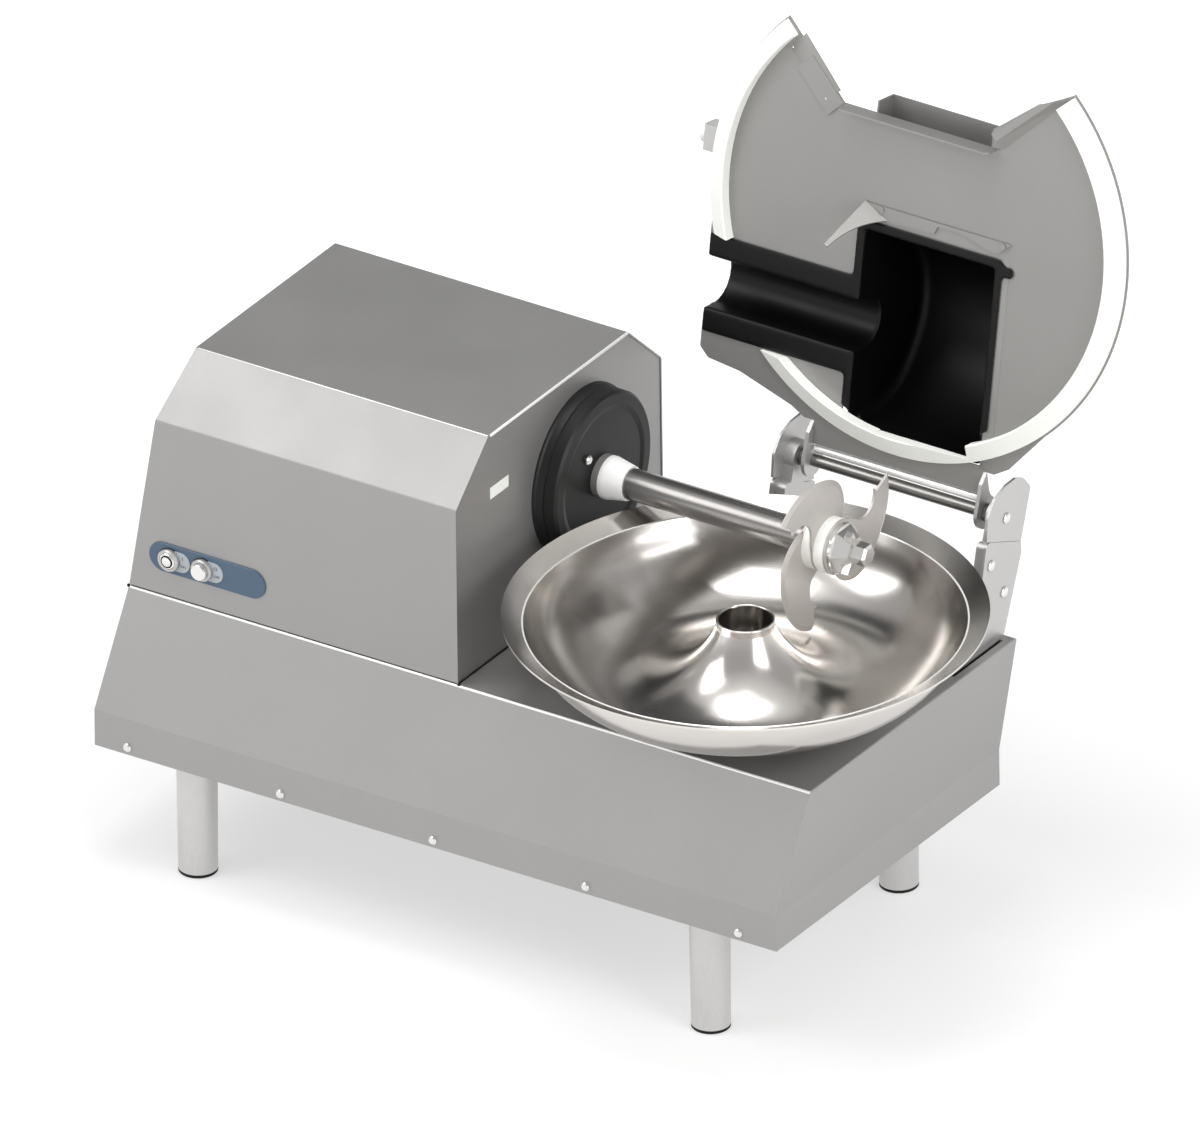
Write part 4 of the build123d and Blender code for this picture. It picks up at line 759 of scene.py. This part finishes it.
def surround_ramp(tree, height):
    """Grey level of the surround by the height of the direction."""
    ramp = tree_node(tree, "ShaderNodeValToRGB")
    ramp.color_ramp.elements[0].position = 0.0
    ramp.color_ramp.elements[1].position = 1.0
    for at, _ in SURROUND_LEVELS[1:-1]:
        ramp.color_ramp.elements.new(at)
    for element, (_, level) in zip(ramp.color_ramp.elements, SURROUND_LEVELS):
        element.color = (level, level, level, 1.0)
    tree.links.new(height, ramp.inputs["Fac"])
    return ramp.outputs["Color"]


def dark_band(tree, split):
    """How far a direction lies in the dark band, 0 to 1."""
    turn = combined(tree, "ARCTAN2", split.outputs["Y"], split.outputs["X"])
    dark = combined(tree, "MULTIPLY", eased(tree, turn, BAND_ANGLES_IN),
                    eased(tree, turn, BAND_ANGLES_OUT))
    for heights in (BAND_HEIGHTS_IN, BAND_HEIGHTS_OUT):
        dark = combined(tree, "MULTIPLY", dark, eased(tree, split.outputs["Z"], heights))
    return dark


def studio_world():
    """White for the camera; for light and reflections a graded surround with a dark band."""
    world = bpy.data.worlds.new("studio")
    bpy.context.scene.world = world
    world.use_nodes = True
    tree = world.node_tree
    background = tree.nodes["Background"]
    place = tree_node(tree, "ShaderNodeTexCoord")
    split = tree_node(tree, "ShaderNodeSeparateXYZ")
    tree.links.new(place.outputs["Generated"], split.inputs["Vector"])
    shade = tree_node(tree, "ShaderNodeMix", data_type="RGBA")
    tree.links.new(dark_band(tree, split), shade.inputs["Factor"])
    tree.links.new(surround_ramp(tree, split.outputs["Z"]), shade.inputs["A"])
    shade.inputs["B"].default_value = BAND_COLOUR
    path = tree_node(tree, "ShaderNodeLightPath")
    mix = tree_node(tree, "ShaderNodeMix", data_type="RGBA")
    mix.inputs["B"].default_value = WHITE
    tree.links.new(path.outputs["Is Camera Ray"], mix.inputs["Factor"])
    tree.links.new(shade.outputs["Result"], mix.inputs["A"])
    scale = tree_node(tree, "ShaderNodeVectorMath", operation="SCALE")
    tree.links.new(mix.outputs["Result"], scale.inputs[0])
    scale.inputs["Scale"].default_value = SURROUND_STRENGTH
    tree.links.new(scale.outputs["Vector"], background.inputs["Color"])
    background.inputs["Strength"].default_value = 1.0


FLOOR_SIZE = 14.0
FLOOR_PLACE = (0.33, 0.18, -0.0005)
FLOOR_GREY = (0.5, 0.5, 0.5, 1.0)
# Glow of the floor near the object and far from it as seen, and as light on the object
GLOW_DISTANCES = (0.6, 1.8)
GLOW_SEEN = (0.52, 0.84)
GLOW_AS_LIGHT = 0.28


def floor_finish():
    """Half diffuse, half glow: it keeps a soft shadow and turns white away from the object."""
    material = bpy.data.materials.new("floor_white")
    material.use_nodes = True
    tree = material.node_tree
    tree.nodes.remove(tree.nodes["Principled BSDF"])
    diffuse = tree_node(tree, "ShaderNodeBsdfDiffuse")
    diffuse.inputs["Color"].default_value = FLOOR_GREY
    glow = tree_node(tree, "ShaderNodeEmission")
    glow.inputs["Color"].default_value = WHITE
    path = tree_node(tree, "ShaderNodeLightPath")
    seen = path.outputs["Is Camera Ray"]
    for kind in ("Is Glossy Ray", "Is Transmission Ray"):
        seen = combined(tree, "MAXIMUM", seen, path.outputs[kind])
    place = tree_node(tree, "ShaderNodeTexCoord")
    away = tree_node(tree, "ShaderNodeVectorMath", operation="LENGTH")
    tree.links.new(place.outputs["Object"], away.inputs[0])
    level = tree_node(tree, "ShaderNodeMix")
    level.inputs["A"].default_value = GLOW_AS_LIGHT
    tree.links.new(seen, level.inputs["Factor"])
    tree.links.new(eased(tree, away.outputs["Value"], GLOW_DISTANCES, GLOW_SEEN),
                   level.inputs["B"])
    tree.links.new(level.outputs["Result"], glow.inputs["Strength"])
    add = tree_node(tree, "ShaderNodeAddShader")
    tree.links.new(diffuse.outputs[0], add.inputs[0])
    tree.links.new(glow.outputs[0], add.inputs[1])
    tree.links.new(add.outputs[0], tree.nodes["Material Output"].inputs["Surface"])
    return material


def studio_floor():
    """Wide pale floor just under the feet."""
    deselect()
    bpy.ops.mesh.primitive_plane_add(size=FLOOR_SIZE, location=FLOOR_PLACE)
    floor = bpy.context.object
    floor.name = "studio_floor"
    floor.data.materials.append(floor_finish())


SOFTBOXES = (
    # name, place, aim, width, height, watts
    ("softbox_front_left", (-1.6, -1.55, 3.1), (0.3, 0.1, 0.4), 1.9, 1.9, 46.0),
    ("softbox_front_low", (-1.25, -2.75, 0.75), (0.3, 0.1, 0.4), 2.4, 1.0, 4.0),
    ("softbox_top", (0.38, 0.17, 3.3), (0.38, 0.17, 0.4), 1.3, 1.3, 34.0),
    ("softbox_right", (2.7, -0.35, 1.5), (0.5, 0.1, 0.4), 1.2, 1.2, 24.0),
)


def softbox(name, place, aim, width, height, watts):
    """Area lamp turned to what it lights."""
    data = bpy.data.lights.new(name, "AREA")
    data.energy = watts
    data.size = width
    if height != width:
        data.shape = "RECTANGLE"
        data.size_y = height
    lamp = bpy.data.objects.new(name, data)
    lamp.location = place
    lamp.rotation_euler = (Vector(aim) - Vector(place)).to_track_quat("-Z", "Y").to_euler()
    bpy.context.scene.collection.objects.link(lamp)


add_camera()
studio_world()
studio_floor()
for values in SOFTBOXES:
    softbox(*values)
bpy.context.scene.view_settings.view_transform = "Standard"
